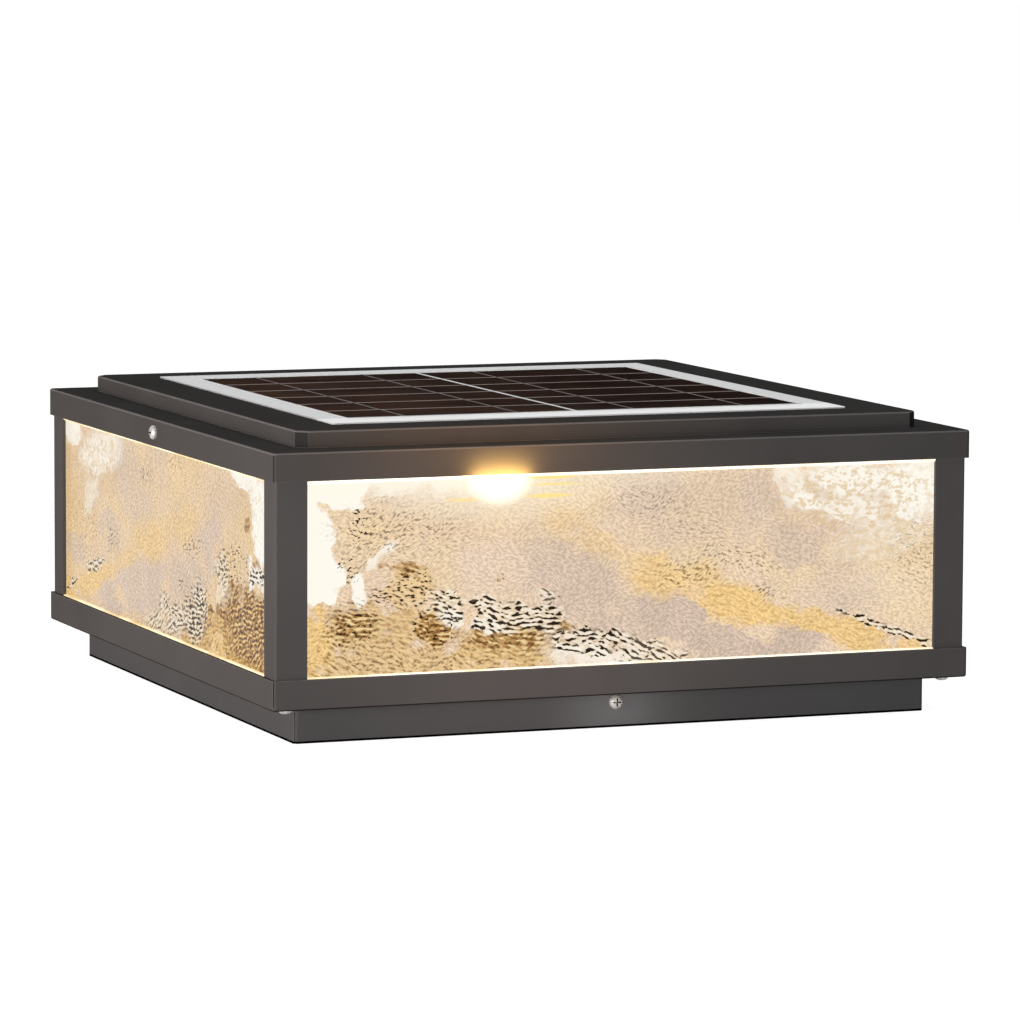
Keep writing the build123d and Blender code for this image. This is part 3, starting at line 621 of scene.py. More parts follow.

# Where the painted light of the front and back panes lies, tone by tone.
FACE_PATTERN: Pattern = {
    Tone.GLARE: (
        Patch(2, 53, 10, 25),
        Patch(8, 37, 10, 8),
        Patch(12, 75, 18, 11),
        Patch(48, 78, 32, 8, edge=0.6, strength=0.8),
        Patch(22, 33, 3.5, 8, turn=-8, strength=0.95),
        Patch(30, 47, 9, 2, turn=42, edge=0.3, strength=0.7),
        Patch(70, 19, 15, 3.5, turn=-12, strength=0.9),
        Patch(122, 4, 22, 5, turn=-6, edge=0.5, strength=0.7),
        Patch(207, 72, 7, 12, turn=16, edge=0.5, strength=0.75),
        Patch(214, 62, 9, 4, turn=-8, edge=0.5),
        Patch(234, 72, 22, 9, turn=-6, edge=0.5, strength=0.95),
        Patch(235, 58, 16, 6, turn=-8, edge=0.5, strength=0.8),
        Patch(262, 66, 13, 15, edge=0.4),
        Patch(248, 46, 20, 8, turn=10, edge=0.8, strength=0.45),
        Patch(252, 28, 20, 12, turn=-20, edge=0.9, strength=0.1),
    ),
    Tone.GOLD: (
        Patch(62, 62, 40, 11, edge=0.9, strength=0.25),
        Patch(116, 53, 22, 6, turn=-28, edge=0.6, strength=0.4),
        Patch(150, 35, 15, 9, turn=-12, edge=0.6, strength=0.8),
        Patch(166, 32, 13, 8, turn=-20, edge=0.6, strength=0.65),
        Patch(187, 21, 22, 8.5, turn=-18, edge=0.4),
        Patch(216, 14, 15, 5, turn=-14, edge=0.5, strength=0.95),
        Patch(236, 7, 19, 6.5, turn=-20, edge=0.4, strength=0.95),
        Patch(258, 2, 12, 3, strength=0.8),
        Patch(4, 14, 8, 15, edge=0.2),
    ),
    Tone.TAN: (
        Patch(50, 4, 54, 9, edge=0.3, strength=0.75),
        Patch(30, 18, 22, 12, edge=0.3, strength=0.8),
        Patch(82, 9, 24, 9, turn=-4, strength=0.9),
        Patch(40, 36, 14, 8.5, strength=0.55),
    ),
    Tone.UMBER: (
        Patch(19, 21, 10, 8, edge=0.3, strength=0.75),
        Patch(40, 42, 14, 2.5, turn=-4, strength=0.75),
        Patch(54, 18, 8.5, 7.5),
        Patch(84, 12, 26, 4.5, turn=-3, edge=0.4, strength=0.7),
        Patch(107, 17, 7, 2.5, turn=-20, strength=0.9),
        Patch(83, 35, 3, 3, strength=0.6),
    ),
    Tone.ROSE: (
        Patch(113, 34, 24, 15, turn=-35, edge=0.5, strength=0.8),
        Patch(134, 17, 18, 11, edge=0.4, strength=0.8),
        Patch(155, 19, 17, 10, turn=-15, edge=0.2),
        Patch(181, 5, 22, 8.5, turn=-12, edge=0.2),
        Patch(208, 6, 14, 7.5, edge=0.2),
        Patch(209, 44, 15, 10, turn=-20, edge=0.5, strength=0.75),
        Patch(168, 62, 36, 17, edge=0.5, strength=0.45),
        Patch(232, 28, 18, 10, turn=-20, edge=0.5, strength=0.4),
    ),
    Tone.ZEBRA: (
        Patch(68, 28, 15, 4.5, turn=-4),
        Patch(72, 20, 18, 5, turn=-14),
        Patch(94, 21, 18, 6, turn=-8),
        Patch(101, 29, 6, 2.5, turn=-15, strength=0.8),
        Patch(120, 9, 22, 7, turn=-8),
        Patch(145, 4, 18, 5, turn=-10, strength=0.9),
        Patch(250, 9, 24, 1.7, turn=-21),
    ),
    Tone.INK: (
        Patch(38, 57, 26, 12, edge=0.7, strength=0.5),
        Patch(23, 59, 6, 8, edge=0.5),
        Patch(18, 43, 5, 6),
        Patch(40, 33, 14, 9),
        Patch(20, 20, 12, 10, edge=0.5, strength=0.9),
        Patch(54, 18, 10, 9),
        Patch(83, 36, 4, 4),
        Patch(50, 6, 50, 9, edge=0.6, strength=0.4),
        Patch(84, 12, 26, 6, edge=0.6, strength=0.5),
        Patch(162, 36, 14, 8, edge=0.6, strength=0.5),
        Patch(184, 41, 18, 5, turn=-14, edge=0.6, strength=0.5),
        Patch(152, 60, 26, 7, turn=-25, edge=0.8, strength=0.28),
        Patch(198, 26, 8, 3, turn=-18, edge=0.5, strength=0.7),
        Patch(262, 40, 12, 16, edge=0.7, strength=0.35),
    ),
    Tone.HONEY: (
        Patch(236, 64, 38, 15, edge=0.5),
        Patch(248, 46, 24, 12, edge=0.7, strength=0.8),
    ),
    Tone.HALO: (
        Patch(76, 77, 34, 12, edge=1.6, strength=0.8),
        Patch(62, 80, 78, 10, edge=1.2, strength=0.55),
    ),
    Tone.STREAK: (
        Patch(103, 76, 10, 0.7, edge=0.9),
        Patch(105, 73, 9, 0.5, edge=0.9, strength=0.8),
        Patch(102, 68.5, 9, 0.8, edge=0.9),
        Patch(66, 68, 7, 0.7, edge=0.9, strength=0.7),
    ),
    Tone.CORE: (
        Patch(81, 75.5, 10, 7.5, edge=1.0),
    ),
}

# Where the painted light of the side panes lies, tone by tone.
FLANK_PATTERN: Pattern = {
    Tone.GLARE: (
        Patch(10, 61, 12, 18),
        Patch(28, 75, 26, 6, turn=12, edge=0.3),
        Patch(22, 39, 3, 8, strength=0.9),
        Patch(12, 37, 12, 5, strength=0.8),
        Patch(58, 25, 14, 5, turn=-8, edge=0.4, strength=0.3),
        Patch(222, 67, 30, 10, turn=-10, edge=0.5, strength=0.75),
        Patch(236, 48, 14, 7, turn=-35, edge=0.4, strength=0.5),
        Patch(262, 73, 14, 7, edge=0.3, strength=0.9),
    ),
    Tone.GOLD: (
        Patch(108, 49, 34, 7, turn=-12, edge=0.5, strength=0.5),
        Patch(152, 37, 22, 9, turn=-4, edge=0.6, strength=0.8),
        Patch(190, 24, 24, 4, turn=-16, edge=0.5, strength=0.6),
        Patch(216, 16, 16, 4, turn=-14, edge=0.4, strength=0.9),
        Patch(240, 9, 22, 6, turn=-14, edge=0.3),
        Patch(264, 4, 14, 5, strength=0.9),
        Patch(62, 8, 20, 9),
    ),
    Tone.TAN: (
        Patch(28, 12, 36, 20),
        Patch(62, 13, 16, 6, strength=0.8),
        Patch(86, 3, 26, 5, strength=0.8),
    ),
    Tone.UMBER: (
        Patch(24, 17, 32, 16, edge=0.3, strength=0.95),
        Patch(10, 8, 14, 10, edge=0.4, strength=0.85),
        Patch(48, 27, 7, 3, turn=-45),
        Patch(64, 18, 13, 2.5, turn=-4),
        Patch(27, 57, 4, 2, turn=-30, strength=0.8),
        Patch(12, 42, 10, 1.5, turn=8, strength=0.7),
        Patch(88, 12, 14, 10, edge=0.3, strength=0.5),
    ),
    Tone.ROSE: (
        Patch(74, 46, 17, 14, edge=0.5, strength=0.75),
        Patch(100, 28, 30, 10, turn=-12, edge=0.5, strength=0.7),
        Patch(164, 17, 40, 14, turn=-10, edge=0.3, strength=0.8),
        Patch(206, 5, 16, 9, edge=0.3, strength=0.8),
        Patch(208, 36, 16, 9, edge=0.5, strength=0.7),
        Patch(176, 58, 28, 16, turn=20, edge=0.5, strength=0.55),
        Patch(258, 22, 16, 8, edge=0.4, strength=0.6),
    ),
    Tone.ZEBRA: (
        Patch(12, 37, 13, 4),
        Patch(58, 35, 8, 7, turn=20, edge=0.6, strength=0.9),
        Patch(86, 19, 10, 7, turn=35, edge=0.6),
        Patch(94, 9, 14, 8, turn=12, edge=0.5),
        Patch(118, 8, 20, 7, turn=-10, edge=0.6, strength=0.9),
        Patch(133, 14, 8, 5, turn=-30, edge=0.6, strength=0.8),
        Patch(144, 3, 16, 4, edge=0.5, strength=0.7),
        Patch(230, 18, 15, 3, turn=-14, strength=0.8),
        Patch(262, 6, 10, 1.5, turn=-20),
    ),
    Tone.INK: (
        Patch(40, 40, 20, 8),
        Patch(22, 18, 28, 14, edge=0.4, strength=0.8),
        Patch(90, 15, 20, 14, edge=0.6),
        Patch(109, 24, 5, 2),
        Patch(94, 41, 14, 4, edge=0.5, strength=0.7),
        Patch(118, 72, 14, 3, edge=0.5, strength=0.4),
        Patch(158, 63, 10, 4, edge=0.5, strength=0.5),
        Patch(206, 32, 12, 5, edge=0.5, strength=0.6),
        Patch(244, 34, 20, 14, edge=0.6, strength=0.3),
    ),
    Tone.HONEY: (
        Patch(228, 62, 34, 14, edge=0.4),
        Patch(254, 46, 16, 18, edge=0.6, strength=0.8),
        Patch(26, 66, 20, 9, edge=0.6, strength=0.6),
    ),
}


@dataclass(frozen=True)
class Ripples:
    """The layers of relief in one pane's material, each from 0 to 1."""

    ruffle: Socket
    grain: Socket
    speck: Socket
    gaps: Socket


@dataclass(frozen=True)
class LitRippleGlass(Finish):
    """Water-ripple glass whose look is painted light: the glow of its lit inside, with glare, halo and the
    LED's image, is given off as emission, with its sizes in millimetres.
    """

    pattern: Pattern
    blush: Colour = display(231, 207, 183)
    peach: Colour = display(237, 211, 175)
    rose: Colour = display(213, 191, 173)
    gold: Colour = display(242, 204, 140)
    tan: Colour = display(217, 180, 120)
    umber: Colour = display(168, 122, 62)
    ink: Colour = display(34, 25, 14)
    honey: Colour = display(214, 178, 116)
    cream: Colour = display(255, 250, 238)
    crest_highlight: Colour = display(248, 223, 167)
    beige: Colour = display(222, 204, 172)
    trough_shade: Colour = (0.36, 0.26, 0.14)
    halo: Colour = (1.05, 0.97, 0.78)
    streak: Colour = (1.05, 0.80, 0.28)
    core: Colour = (1.6, 1.5, 1.3)
    body: Colour = (0.03, 0.03, 0.03)
    facet_size: float = 12.0
    facet_range: Range = (0.2, 0.8)
    shard_scale: float = 0.24
    shard_share: float = 0.5
    drift_scale: float = 0.06
    drift_detail: float = 3.0
    drift: float = 5.0
    warmth_scale: float = 0.02
    warmth_range: Range = (0.4, 0.6)
    gap_scale: float = 0.3
    gap_range: Range = (0.2, 0.8)
    wave_pitch: float = 2.1
    wave_bend: float = 5.0
    wave_detail: float = 0.5
    wave_detail_scale: float = 1.2
    wave_share: float = 0.4
    wave_lean: Range = (math.radians(2), math.radians(26))
    dash_size: Range = (3.2, 1.55)
    grain_lean: Range = (math.radians(-38), math.radians(40))
    grain_size: Range = (1.7, 0.85)
    grain_share: float = 0.5
    stroke_range: Range = (0.32, 0.68)
    facet_shade: Range = (0.96, 1.03)
    grain_shade: Range = (0.83, 1.13)
    calm: float = 0.06
    brown_stir: float = 0.4
    gold_stir: float = 0.2
    ink_stir: float = 0.2
    glare_calm: float = 0.5
    crest_range: Range = (0.52, 0.85)
    trough_range: Range = (0.46, 0.15)
    curd_gaps: Range = (0.35, 0.65)
    curd_share: float = 0.6
    curd_range: Range = (0.4, 0.75)
    honey_share: float = 0.6
    beige_share: float = 0.45
    white_range: Range = (0.5, 0.75)
    white_share: float = 0.6
    black_range: Range = (0.44, 0.32)
    fleck_range: Range = (0.36, 0.22)
    glow: float = 0.95
    clear: float = 0.1
    refraction: float = 1.4
    sheen: float = 0.06
    roughness: Range = (0.08, 0.2)
    relief: float = 0.35 * MM
    relief_show: float = 0.8

    def lay(self, work: Work) -> None:
        """Patches of tone with faceted borders, under fine ripples that turn from facet to facet, all
        painted light given off as emission.

        Args:
            work: the material in the making.
        """
        metres = work.add("ShaderNodeUVMap", uv_map="pane").outputs[0]
        place = work.vector("SCALE", metres, 1 / MM)
        inputs = {"Vector": place, "Scale": 1 / self.facet_size}
        facet = work.add("ShaderNodeTexVoronoi", inputs, voronoi_dimensions="2D").outputs["Color"]
        ripples = self._ripples(work, place, facet)
        masks = self._masks(work, place)
        tone = self._ground(work, place, masks)
        shade = work.between(facet, *self.facet_shade)
        tone = work.tint(tone, work.times(shade, work.between(ripples.grain, *self.grain_shade)))
        tone = work.mix(masks[Tone.GLARE], tone, self.cream)
        tone = self._ruffled(work, tone, ripples, masks)
        tone = self._flecked(work, tone, ripples, masks)
        # Painted light: the halo, the streaks and the LED's own image are painted on the pane.
        for kind, light in ((Tone.HALO, self.halo), (Tone.STREAK, self.streak), (Tone.CORE, self.core)):
            tone = work.mix(masks[kind], tone, light)
        work.paint("Base Color", work.tint(tone, self.body))
        # The whole pattern is painted light, given off as the pane's emission.
        work.paint("Emission Color", tone)
        work.paint("Normal", work.bump(ripples.ruffle, self.relief, self.relief_show))
        work.paint("Roughness", work.spread(ripples.gaps, *self.gap_range, *self.roughness))
        work.paint("Emission Strength", self.glow)
        work.paint("Transmission Weight", self.clear)
        work.paint("IOR", self.refraction)
        work.paint("Specular IOR Level", self.sheen)
        work.material.cycles.emission_sampling = "NONE"

    def _ripples(self, work: Work, place: Socket, facet: Socket) -> Ripples:
        """Makes the layers of relief.

        Args:
            work: the material in the making.
            place: the place on the pane, in millimetres.
            facet: a random colour for each facet.

        Returns:
            The ruffle of waves and dashes, the fine grain, the two together, and broad gaps.
        """
        lines = work.turned(place, work.spread(facet, *self.facet_range, *self.wave_lean))
        waves = work.times(self._waves(work, lines), self.wave_share)
        dashes = work.times(self._strokes(work, lines, self.dash_size), 1.0 - self.wave_share)
        ruffle = work.math("ADD", waves, dashes)
        slopes = work.turned(place, work.spread(facet, *self.facet_range, *self.grain_lean))
        grain = self._strokes(work, slopes, self.grain_size)
        gaps = work.noise(place, self.gap_scale).outputs[0]
        coarse = work.times(ruffle, 1.0 - self.grain_share)
        speck = work.math("ADD", coarse, work.times(grain, self.grain_share))
        return Ripples(ruffle, grain, speck, gaps)

    def _waves(self, work: Work, place: Socket) -> Socket:
        """Makes long wavy ripples that lie across the pane.

        Args:
            work: the material in the making.
            place: the place on the pane, in millimetres.

        Returns:
            The ripple, from 0 to 1.
        """
        inputs = {
            "Vector": place,
            "Scale": 2 * math.pi / WAVE_RADIANS / self.wave_pitch,
            "Distortion": self.wave_bend,
            "Detail": self.wave_detail,
            "Detail Scale": self.wave_detail_scale,
        }
        return work.add("ShaderNodeTexWave", inputs, bands_direction="Y").outputs[1]

    def _strokes(self, work: Work, place: Socket, size: Range) -> Socket:
        """Makes short strokes that lie across the pane.

        Args:
            work: the material in the making.
            place: the place on the pane, in millimetres.
            size: a stroke's length and height.

        Returns:
            The strokes, from 0 to 1.
        """
        drawn = work.vector("DIVIDE", place, (*size, 1.0))
        return work.spread(work.noise(drawn, scale=1.0, detail=1.0).outputs[0], *self.stroke_range)

    def _masks(self, work: Work, place: Socket) -> Masks:
        """Joins the patches of each tone.

        Args:
            work: the material in the making.
            place: the place on the pane, in millimetres.

        Returns:
            A mask for each tone, from 0 to 1.
        """
        shard = self._shattered(work, place)
        masks: Masks = {}
        for tone in Tone:
            joined = 0.0
            for patch in self.pattern.get(tone, ()):
                inputs = {
                    "Place": place if tone.smooth else shard,
                    "Centre": (patch.across, patch.up, 0.0),
                    "Reach": (patch.wide, patch.high, 1.0),
                    "Turn": math.radians(patch.turn),
                    "Edge": patch.edge,
                    "Strength": patch.strength,
                }
                joined = work.most(joined, work.place(work.effects.pane_patch, inputs)["Mask"])
            masks[tone] = joined
        return masks

    def _shattered(self, work: Work, place: Socket) -> Socket:
        """Moves the place in small straight-edged shards, so that borders run in facets.

        Args:
            work: the material in the making.
            place: the place on the pane, in millimetres.

        Returns:
            The moved place.
        """
        inputs = {"Vector": place, "Scale": self.shard_scale}
        shards = work.add("ShaderNodeTexVoronoi", inputs, voronoi_dimensions="2D").outputs["Position"]
        cloud = work.noise(place, self.drift_scale, self.drift_detail).outputs["Color"]
        moved = work.vector("SCALE", work.vector("SUBTRACT", cloud, NOISE_MEAN), self.drift)
        return work.vector("ADD", work.mix(self.shard_share, place, shards), moved)

    def _ground(self, work: Work, place: Socket, masks: Masks) -> Socket:
        """Lays the plain tones of the patches over the pane's warm ground.

        Args:
            work: the material in the making.
            place: the place on the pane, in millimetres.
            masks: a mask for each tone.

        Returns:
            The colour.
        """
        cloud = work.noise(place, self.warmth_scale).outputs[0]
        tone = work.mix(work.spread(cloud, *self.warmth_range), self.blush, self.peach)
        layers = {Tone.ROSE: self.rose, Tone.GOLD: self.gold, Tone.TAN: self.tan, Tone.UMBER: self.umber}
        for kind, colour in layers.items():
            tone = work.mix(masks[kind], tone, colour)
        return tone

    def _ruffled(self, work: Work, tone: Socket, ripples: Ripples, masks: Masks) -> Socket:
        """Paints highlights on crests and shade in troughs, most of all in the brown patches.

        Args:
            work: the material in the making.
            tone: the colour so far.
            ripples: the layers of relief.
            masks: a mask for each tone.

        Returns:
            The colour.
        """
        stir = {
            Tone.UMBER: self.brown_stir,
            Tone.TAN: self.brown_stir,
            Tone.GOLD: self.gold_stir,
            Tone.INK: self.ink_stir,
        }
        busy = self.calm
        for kind, share in stir.items():
            busy = work.math("ADD", busy, work.times(masks[kind], share))
        calmed = work.times(masks[Tone.GLARE], self.glare_calm)
        busy = work.math("SUBTRACT", busy, calmed, clamp=True)
        crest = work.times(work.spread(ripples.ruffle, *self.crest_range), busy)
        trough_shade = work.times(work.spread(ripples.ruffle, *self.trough_range), busy)
        tone = work.mix(crest, tone, self.crest_highlight)
        return work.mix(trough_shade, tone, work.tint(tone, self.trough_shade))

    def _flecked(self, work: Work, tone: Socket, ripples: Ripples, masks: Masks) -> Socket:
        """Adds the gold flecks, the black and white waves and the dark flecks.

        Args:
            work: the material in the making.
            tone: the colour so far.
            ripples: the layers of relief.
            masks: a mask for each tone.

        Returns:
            The colour.
        """
        broad = work.spread(ripples.gaps, *self.curd_gaps, top=1.0 - self.curd_share)
        curds = work.math("ADD", work.times(ripples.speck, self.curd_share), broad)
        honey = work.times(work.spread(curds, *self.curd_range), masks[Tone.HONEY])
        tone = work.mix(work.times(honey, self.honey_share), tone, self.honey)
        waves = masks[Tone.ZEBRA]
        tone = work.mix(work.times(waves, self.beige_share), tone, self.beige)
        white = work.times(work.spread(ripples.ruffle, *self.white_range), waves)
        tone = work.mix(work.times(white, self.white_share), tone, self.cream)
        black = work.times(work.spread(ripples.ruffle, *self.black_range), waves)
        fleck = work.times(work.spread(ripples.speck, *self.fleck_range), masks[Tone.INK])
        return work.mix(work.most(black, fleck), tone, self.ink)


@dataclass(frozen=True)
class GlowingBead(Finish):
    """Clear glazing bead with a painted glow along a pane's edge, given off as emission."""

    colour: Colour = display(255, 246, 226)
    amber: Colour = display(236, 214, 176)
    glow: float = 0.66
    grain_scale: float = 700.0
    stretch_scale: float = 30.0
    amber_range: Range = (0.4, 1.0)
    roughness: float = 0.3
    skin: float = 0.05 * MM

    def lay(self, work: Work) -> None:
        """Painted cream glow with amber stretches.

        Args:
            work: the material in the making.
        """
        grain = work.grain(self.grain_scale, self.stretch_scale)
        light = work.mix(work.spread(grain["Mottle"], *self.amber_range), self.colour, self.amber)
        work.paint("Base Color", light)
        work.paint("Emission Color", light)
        work.paint("Normal", work.bump(grain["Height"], self.skin))
        work.paint("Emission Strength", self.glow)
        work.paint("Roughness", self.roughness)
        work.material.cycles.emission_sampling = "NONE"


@dataclass(frozen=True)
class DrawnMetal(Finish):
    """Bare metal with fine scratches along one axis and brighter rubbed edges."""

    colour: Colour
    shaded: Colour
    roughness: Range
    stretch: Point
    metallic: float
    scratch_scale: float = 1800.0
    scratch: float = 0.01 * MM
    wear_scale: float = 700.0
    edge: float = 0.3 * MM

    def lay(self, work: Work) -> None:
        """Scratched metal with brighter rubbed edges.

        Args:
            work: the material in the making.
        """
        streak = work.brushing(self.scratch_scale, self.stretch)
        wear = work.edge_wear_and_highlight(self.edge, self.wear_scale)
        tone = work.mix(streak, self.shaded, self.colour)
        work.paint("Base Color", work.mix(wear["Mask"], tone, self.colour))
        work.paint("Roughness", work.between(streak, *self.roughness))
        work.paint("Normal", work.bump(streak, self.scratch))
        work.paint("Metallic", self.metallic)


@dataclass(frozen=True)
class ScrewSteel(Finish):
    """Satin steel of a screw head, with a rim lighter partly as wear and partly as painted highlight, and
    painted shade in the recess.
    """

    colour: Colour = (0.55, 0.55, 0.53)
    shaded: Colour = (0.22, 0.22, 0.21)
    rim: Colour = (0.85, 0.85, 0.83)
    recess_shade: Colour = (0.015, 0.014, 0.013)
    scratch_scale: float = 1800.0
    scratch: float = 0.01 * MM
    stretch: Point = (0.5, 0.5, 1.0)
    wear_scale: float = 700.0
    edge: float = 0.45 * MM
    recess: float = 1.2 * MM
    roughness: Range = (0.55, 0.4)
    metallic: float = 0.35

    def lay(self, work: Work) -> None:
        """Turned steel, lighter at its edges partly as wear and partly as painted highlight, with painted
        shade in the recess.

        Args:
            work: the material in the making.
        """
        streak = work.brushing(self.scratch_scale, self.stretch)
        wear = work.edge_wear_and_highlight(self.edge, self.wear_scale)
        recess = work.corner_shade(self.recess)
        tone = work.mix(streak, self.shaded, self.colour)
        # The rim lightens partly as wear, partly as painted highlight.
        tone = work.mix(wear["Mask"], tone, self.rim)
        # Painted shade: the recess, where the shade falls, is darkened to near black.
        work.paint("Base Color", work.mix(recess, tone, self.recess_shade))
        work.paint("Roughness", work.between(streak, *self.roughness))
        work.paint("Normal", work.bump(streak, self.scratch))
        work.paint("Metallic", self.metallic)


@dataclass(frozen=True)
class ZincPlate(Finish):
    """Galvanised plate with its frosty spangle."""

    light: Colour = (0.66, 0.67, 0.69)
    dark: Colour = (0.44, 0.45, 0.47)
    spangle_scale: float = 160.0
    flake_range: Range = (0.1, 0.9)
    wear_scale: float = 300.0
    edge: float = 0.6 * MM
    roughness: Range = (0.5, 0.32)
    metallic: float = 1.0

    def lay(self, work: Work) -> None:
        """Spangles of several greys, with rubbed edges.

        Args:
            work: the material in the making.
        """
        inputs = {"Vector": work.where(), "Scale": self.spangle_scale}
        spangle = work.add("ShaderNodeTexVoronoi", inputs, distance="MANHATTAN").outputs["Color"]
        flake = work.spread(spangle, *self.flake_range)
        wear = work.edge_wear_and_highlight(self.edge, self.wear_scale)
        tone = work.mix(flake, self.dark, self.light)
        work.paint("Base Color", work.mix(wear["Mask"], tone, self.light))
        work.paint("Roughness", work.between(flake, *self.roughness))
        work.paint("Metallic", self.metallic)


@dataclass(frozen=True)
class MouldedPlastic(Finish):
    """Moulded plastic or rubber with a fine skin."""

    colour: Colour
    pale: Colour
    rough: float = 0.5
    skin: float = 0.03 * MM
    grain_scale: float = 1500.0
    sheen: float = 0.4
    mottle_scale: float = 45.0
    mottle_share: float = 0.5
    wear_scale: float = 400.0
    edge: float = 0.4 * MM
    rub: float = 0.8
    dust_scale: float = 90.0
    dulling: float = 0.15
    skin_show: float = 0.5

    def lay(self, work: Work) -> None:
        """Fine-grained skin with slight mottle, pale edges and dust.

        Args:
            work: the material in the making.
        """
        grain = work.grain(self.grain_scale, self.mottle_scale)
        wear = work.edge_wear_and_highlight(self.edge, self.wear_scale)
        dust = work.dust(self.dust_scale)
        mottle = work.times(grain["Mottle"], self.mottle_share)
        rubbed = work.most(mottle, work.times(wear["Mask"], self.rub))
        work.paint("Base Color", work.mix(rubbed, self.colour, self.pale))
        dull = work.most(grain["Mottle"], dust)
        roughness = work.between(dull, self.rough, min(self.rough + self.dulling, 1.0))
        work.paint("Roughness", roughness)
        work.paint("Normal", work.bump(grain["Height"], self.skin, self.skin_show))
        work.paint("Specular IOR Level", self.sheen)


@dataclass(frozen=True)
class SiliconCell(Finish):
    """Near-black solar cells with fine silver fingers."""

    colour: Colour = (0.036, 0.021, 0.017)
    cast: Colour = (0.061, 0.033, 0.023)
    finger: Colour = (0.08, 0.06, 0.055)
    finger_pitch: float = 2.2 * MM
    finger_share: float = 0.08
    finger_show: float = 0.5
    half_width: float = 100.0 * MM
    fade: Range = (1.3, 0.55)
    grain_scale: float = 900.0
    mottle_scale: float = 30.0
    roughness: Range = (0.5, 0.6)
    sheen: float = 0.0

    def lay(self, work: Work) -> None:
        """Brown-black silicon, mottled, painted lighter to the left as painted light and darker to the
        right as painted shade, with fingers across the ribbons.

        Args:
            work: the material in the making.
        """
        grain = work.grain(self.grain_scale, self.mottle_scale)
        along = work.parts(work.where())["X"]
        turn = work.math("FRACT", work.math("DIVIDE", along, self.finger_pitch))
        finger = work.math("LESS_THAN", turn, self.finger_share)
        tone = work.mix(grain["Mottle"], self.colour, self.cast)
        # Painted light and shade: the tone falls from lighter at the left to darker at the right.
        tone = work.tint(tone, work.spread(along, -self.half_width, self.half_width, *self.fade))
        tone = work.mix(work.times(finger, self.finger_show), tone, self.finger)
        work.paint("Base Color", tone)
        work.paint("Roughness", work.spread(grain["Height"], *NOISE_BULK, *self.roughness))
        work.paint("Specular IOR Level", self.sheen)


@dataclass(frozen=True)
class PanelLaminate(Finish):
    """Pale laminate board under the cells, which shows as the border and the lines.

    field is half the width and half the depth of the cells, and spine half the width of the middle line.
    """

    field: Range
    spine: float
    colour: Colour = display(196, 199, 201)
    pale: Colour = display(206, 209, 211)
    bright: Colour = display(252, 253, 253)
    dim: Colour = (0.26, 0.20, 0.17)
    grain_scale: float = 1100.0
    mottle_scale: float = 18.0
    weave_scale: float = 900.0
    weave_stretch: Point = (1.0, 0.12, 1.0)
    matt: float = 0.24
    polish: float = 0.06
    dull: float = 0.9
    skin: float = 0.002 * MM
    sheen: float = 1.0

    def lay(self, work: Work) -> None:
        """Silver-grey sheet with a faint weave, painted white along the front as painted light, and dim
        between the cells.

        Args:
            work: the material in the making.
        """
        grain = work.grain(self.grain_scale, self.mottle_scale)
        weave = work.brushing(self.weave_scale, self.weave_stretch)
        half_width, half_depth = self.field
        place = work.where()
        front = work.math("LESS_THAN", work.parts(place)["Y"], -half_depth)
        aside = work.parts(work.vector("ABSOLUTE", place))
        between = work.math("LESS_THAN", aside["X"], half_width)
        between = work.times(between, work.math("LESS_THAN", aside["Y"], half_depth))
        between = work.times(between, work.math("GREATER_THAN", aside["X"], self.spine))
        sheet = work.mix(work.times(grain["Mottle"], weave), self.colour, self.pale)
        # Painted light: the strip along the front is painted near white.
        sheet = work.mix(front, sheet, self.bright)
        work.paint("Base Color", work.mix(between, sheet, self.dim))
        polish = work.between(front, self.matt, self.polish)
        work.paint("Roughness", work.most(polish, work.times(between, self.dull)))
        work.paint("Normal", work.bump(grain["Height"], self.skin))
        work.paint("Specular IOR Level", self.sheen)


@dataclass(frozen=True)
class ClearFilm(Finish):
    """Thin clear film over the cells, unseen but for a painted highlight along its cut edge."""

    colour: Colour = (0.35, 0.36, 0.37)
    edge: Colour = (0.92, 0.92, 0.92)
    dust: Colour = (0.6, 0.58, 0.55)
    dust_scale: float = 35.0
    haze: Range = (0.003, 0.012)
    rim_range: Range = (0.6, 0.3)
    rim_cover: float = 0.3
    roughness: Range = (0.4, 0.6)
    sheen: float = 0.0

    def lay(self, work: Work) -> None:
        """A trace of haze where dust lies, and a painted highlight along the rim.

        Args:
            work: the material in the making.
        """
        dust = work.dust(self.dust_scale)
        level = work.math("ABSOLUTE", work.vector("DOT_PRODUCT", work.facing(), UP))
        rim = work.spread(level, *self.rim_range)
        hazed = work.mix(dust, self.colour, self.dust)
        # Painted highlight: the upright rim is painted near white.
        work.paint("Base Color", work.mix(rim, hazed, self.edge))
        veil = work.between(dust, *self.haze)
        work.paint("Alpha", work.most(veil, work.times(rim, self.rim_cover)))
        work.paint("Roughness", work.between(dust, *self.roughness))
        work.paint("Specular IOR Level", self.sheen)


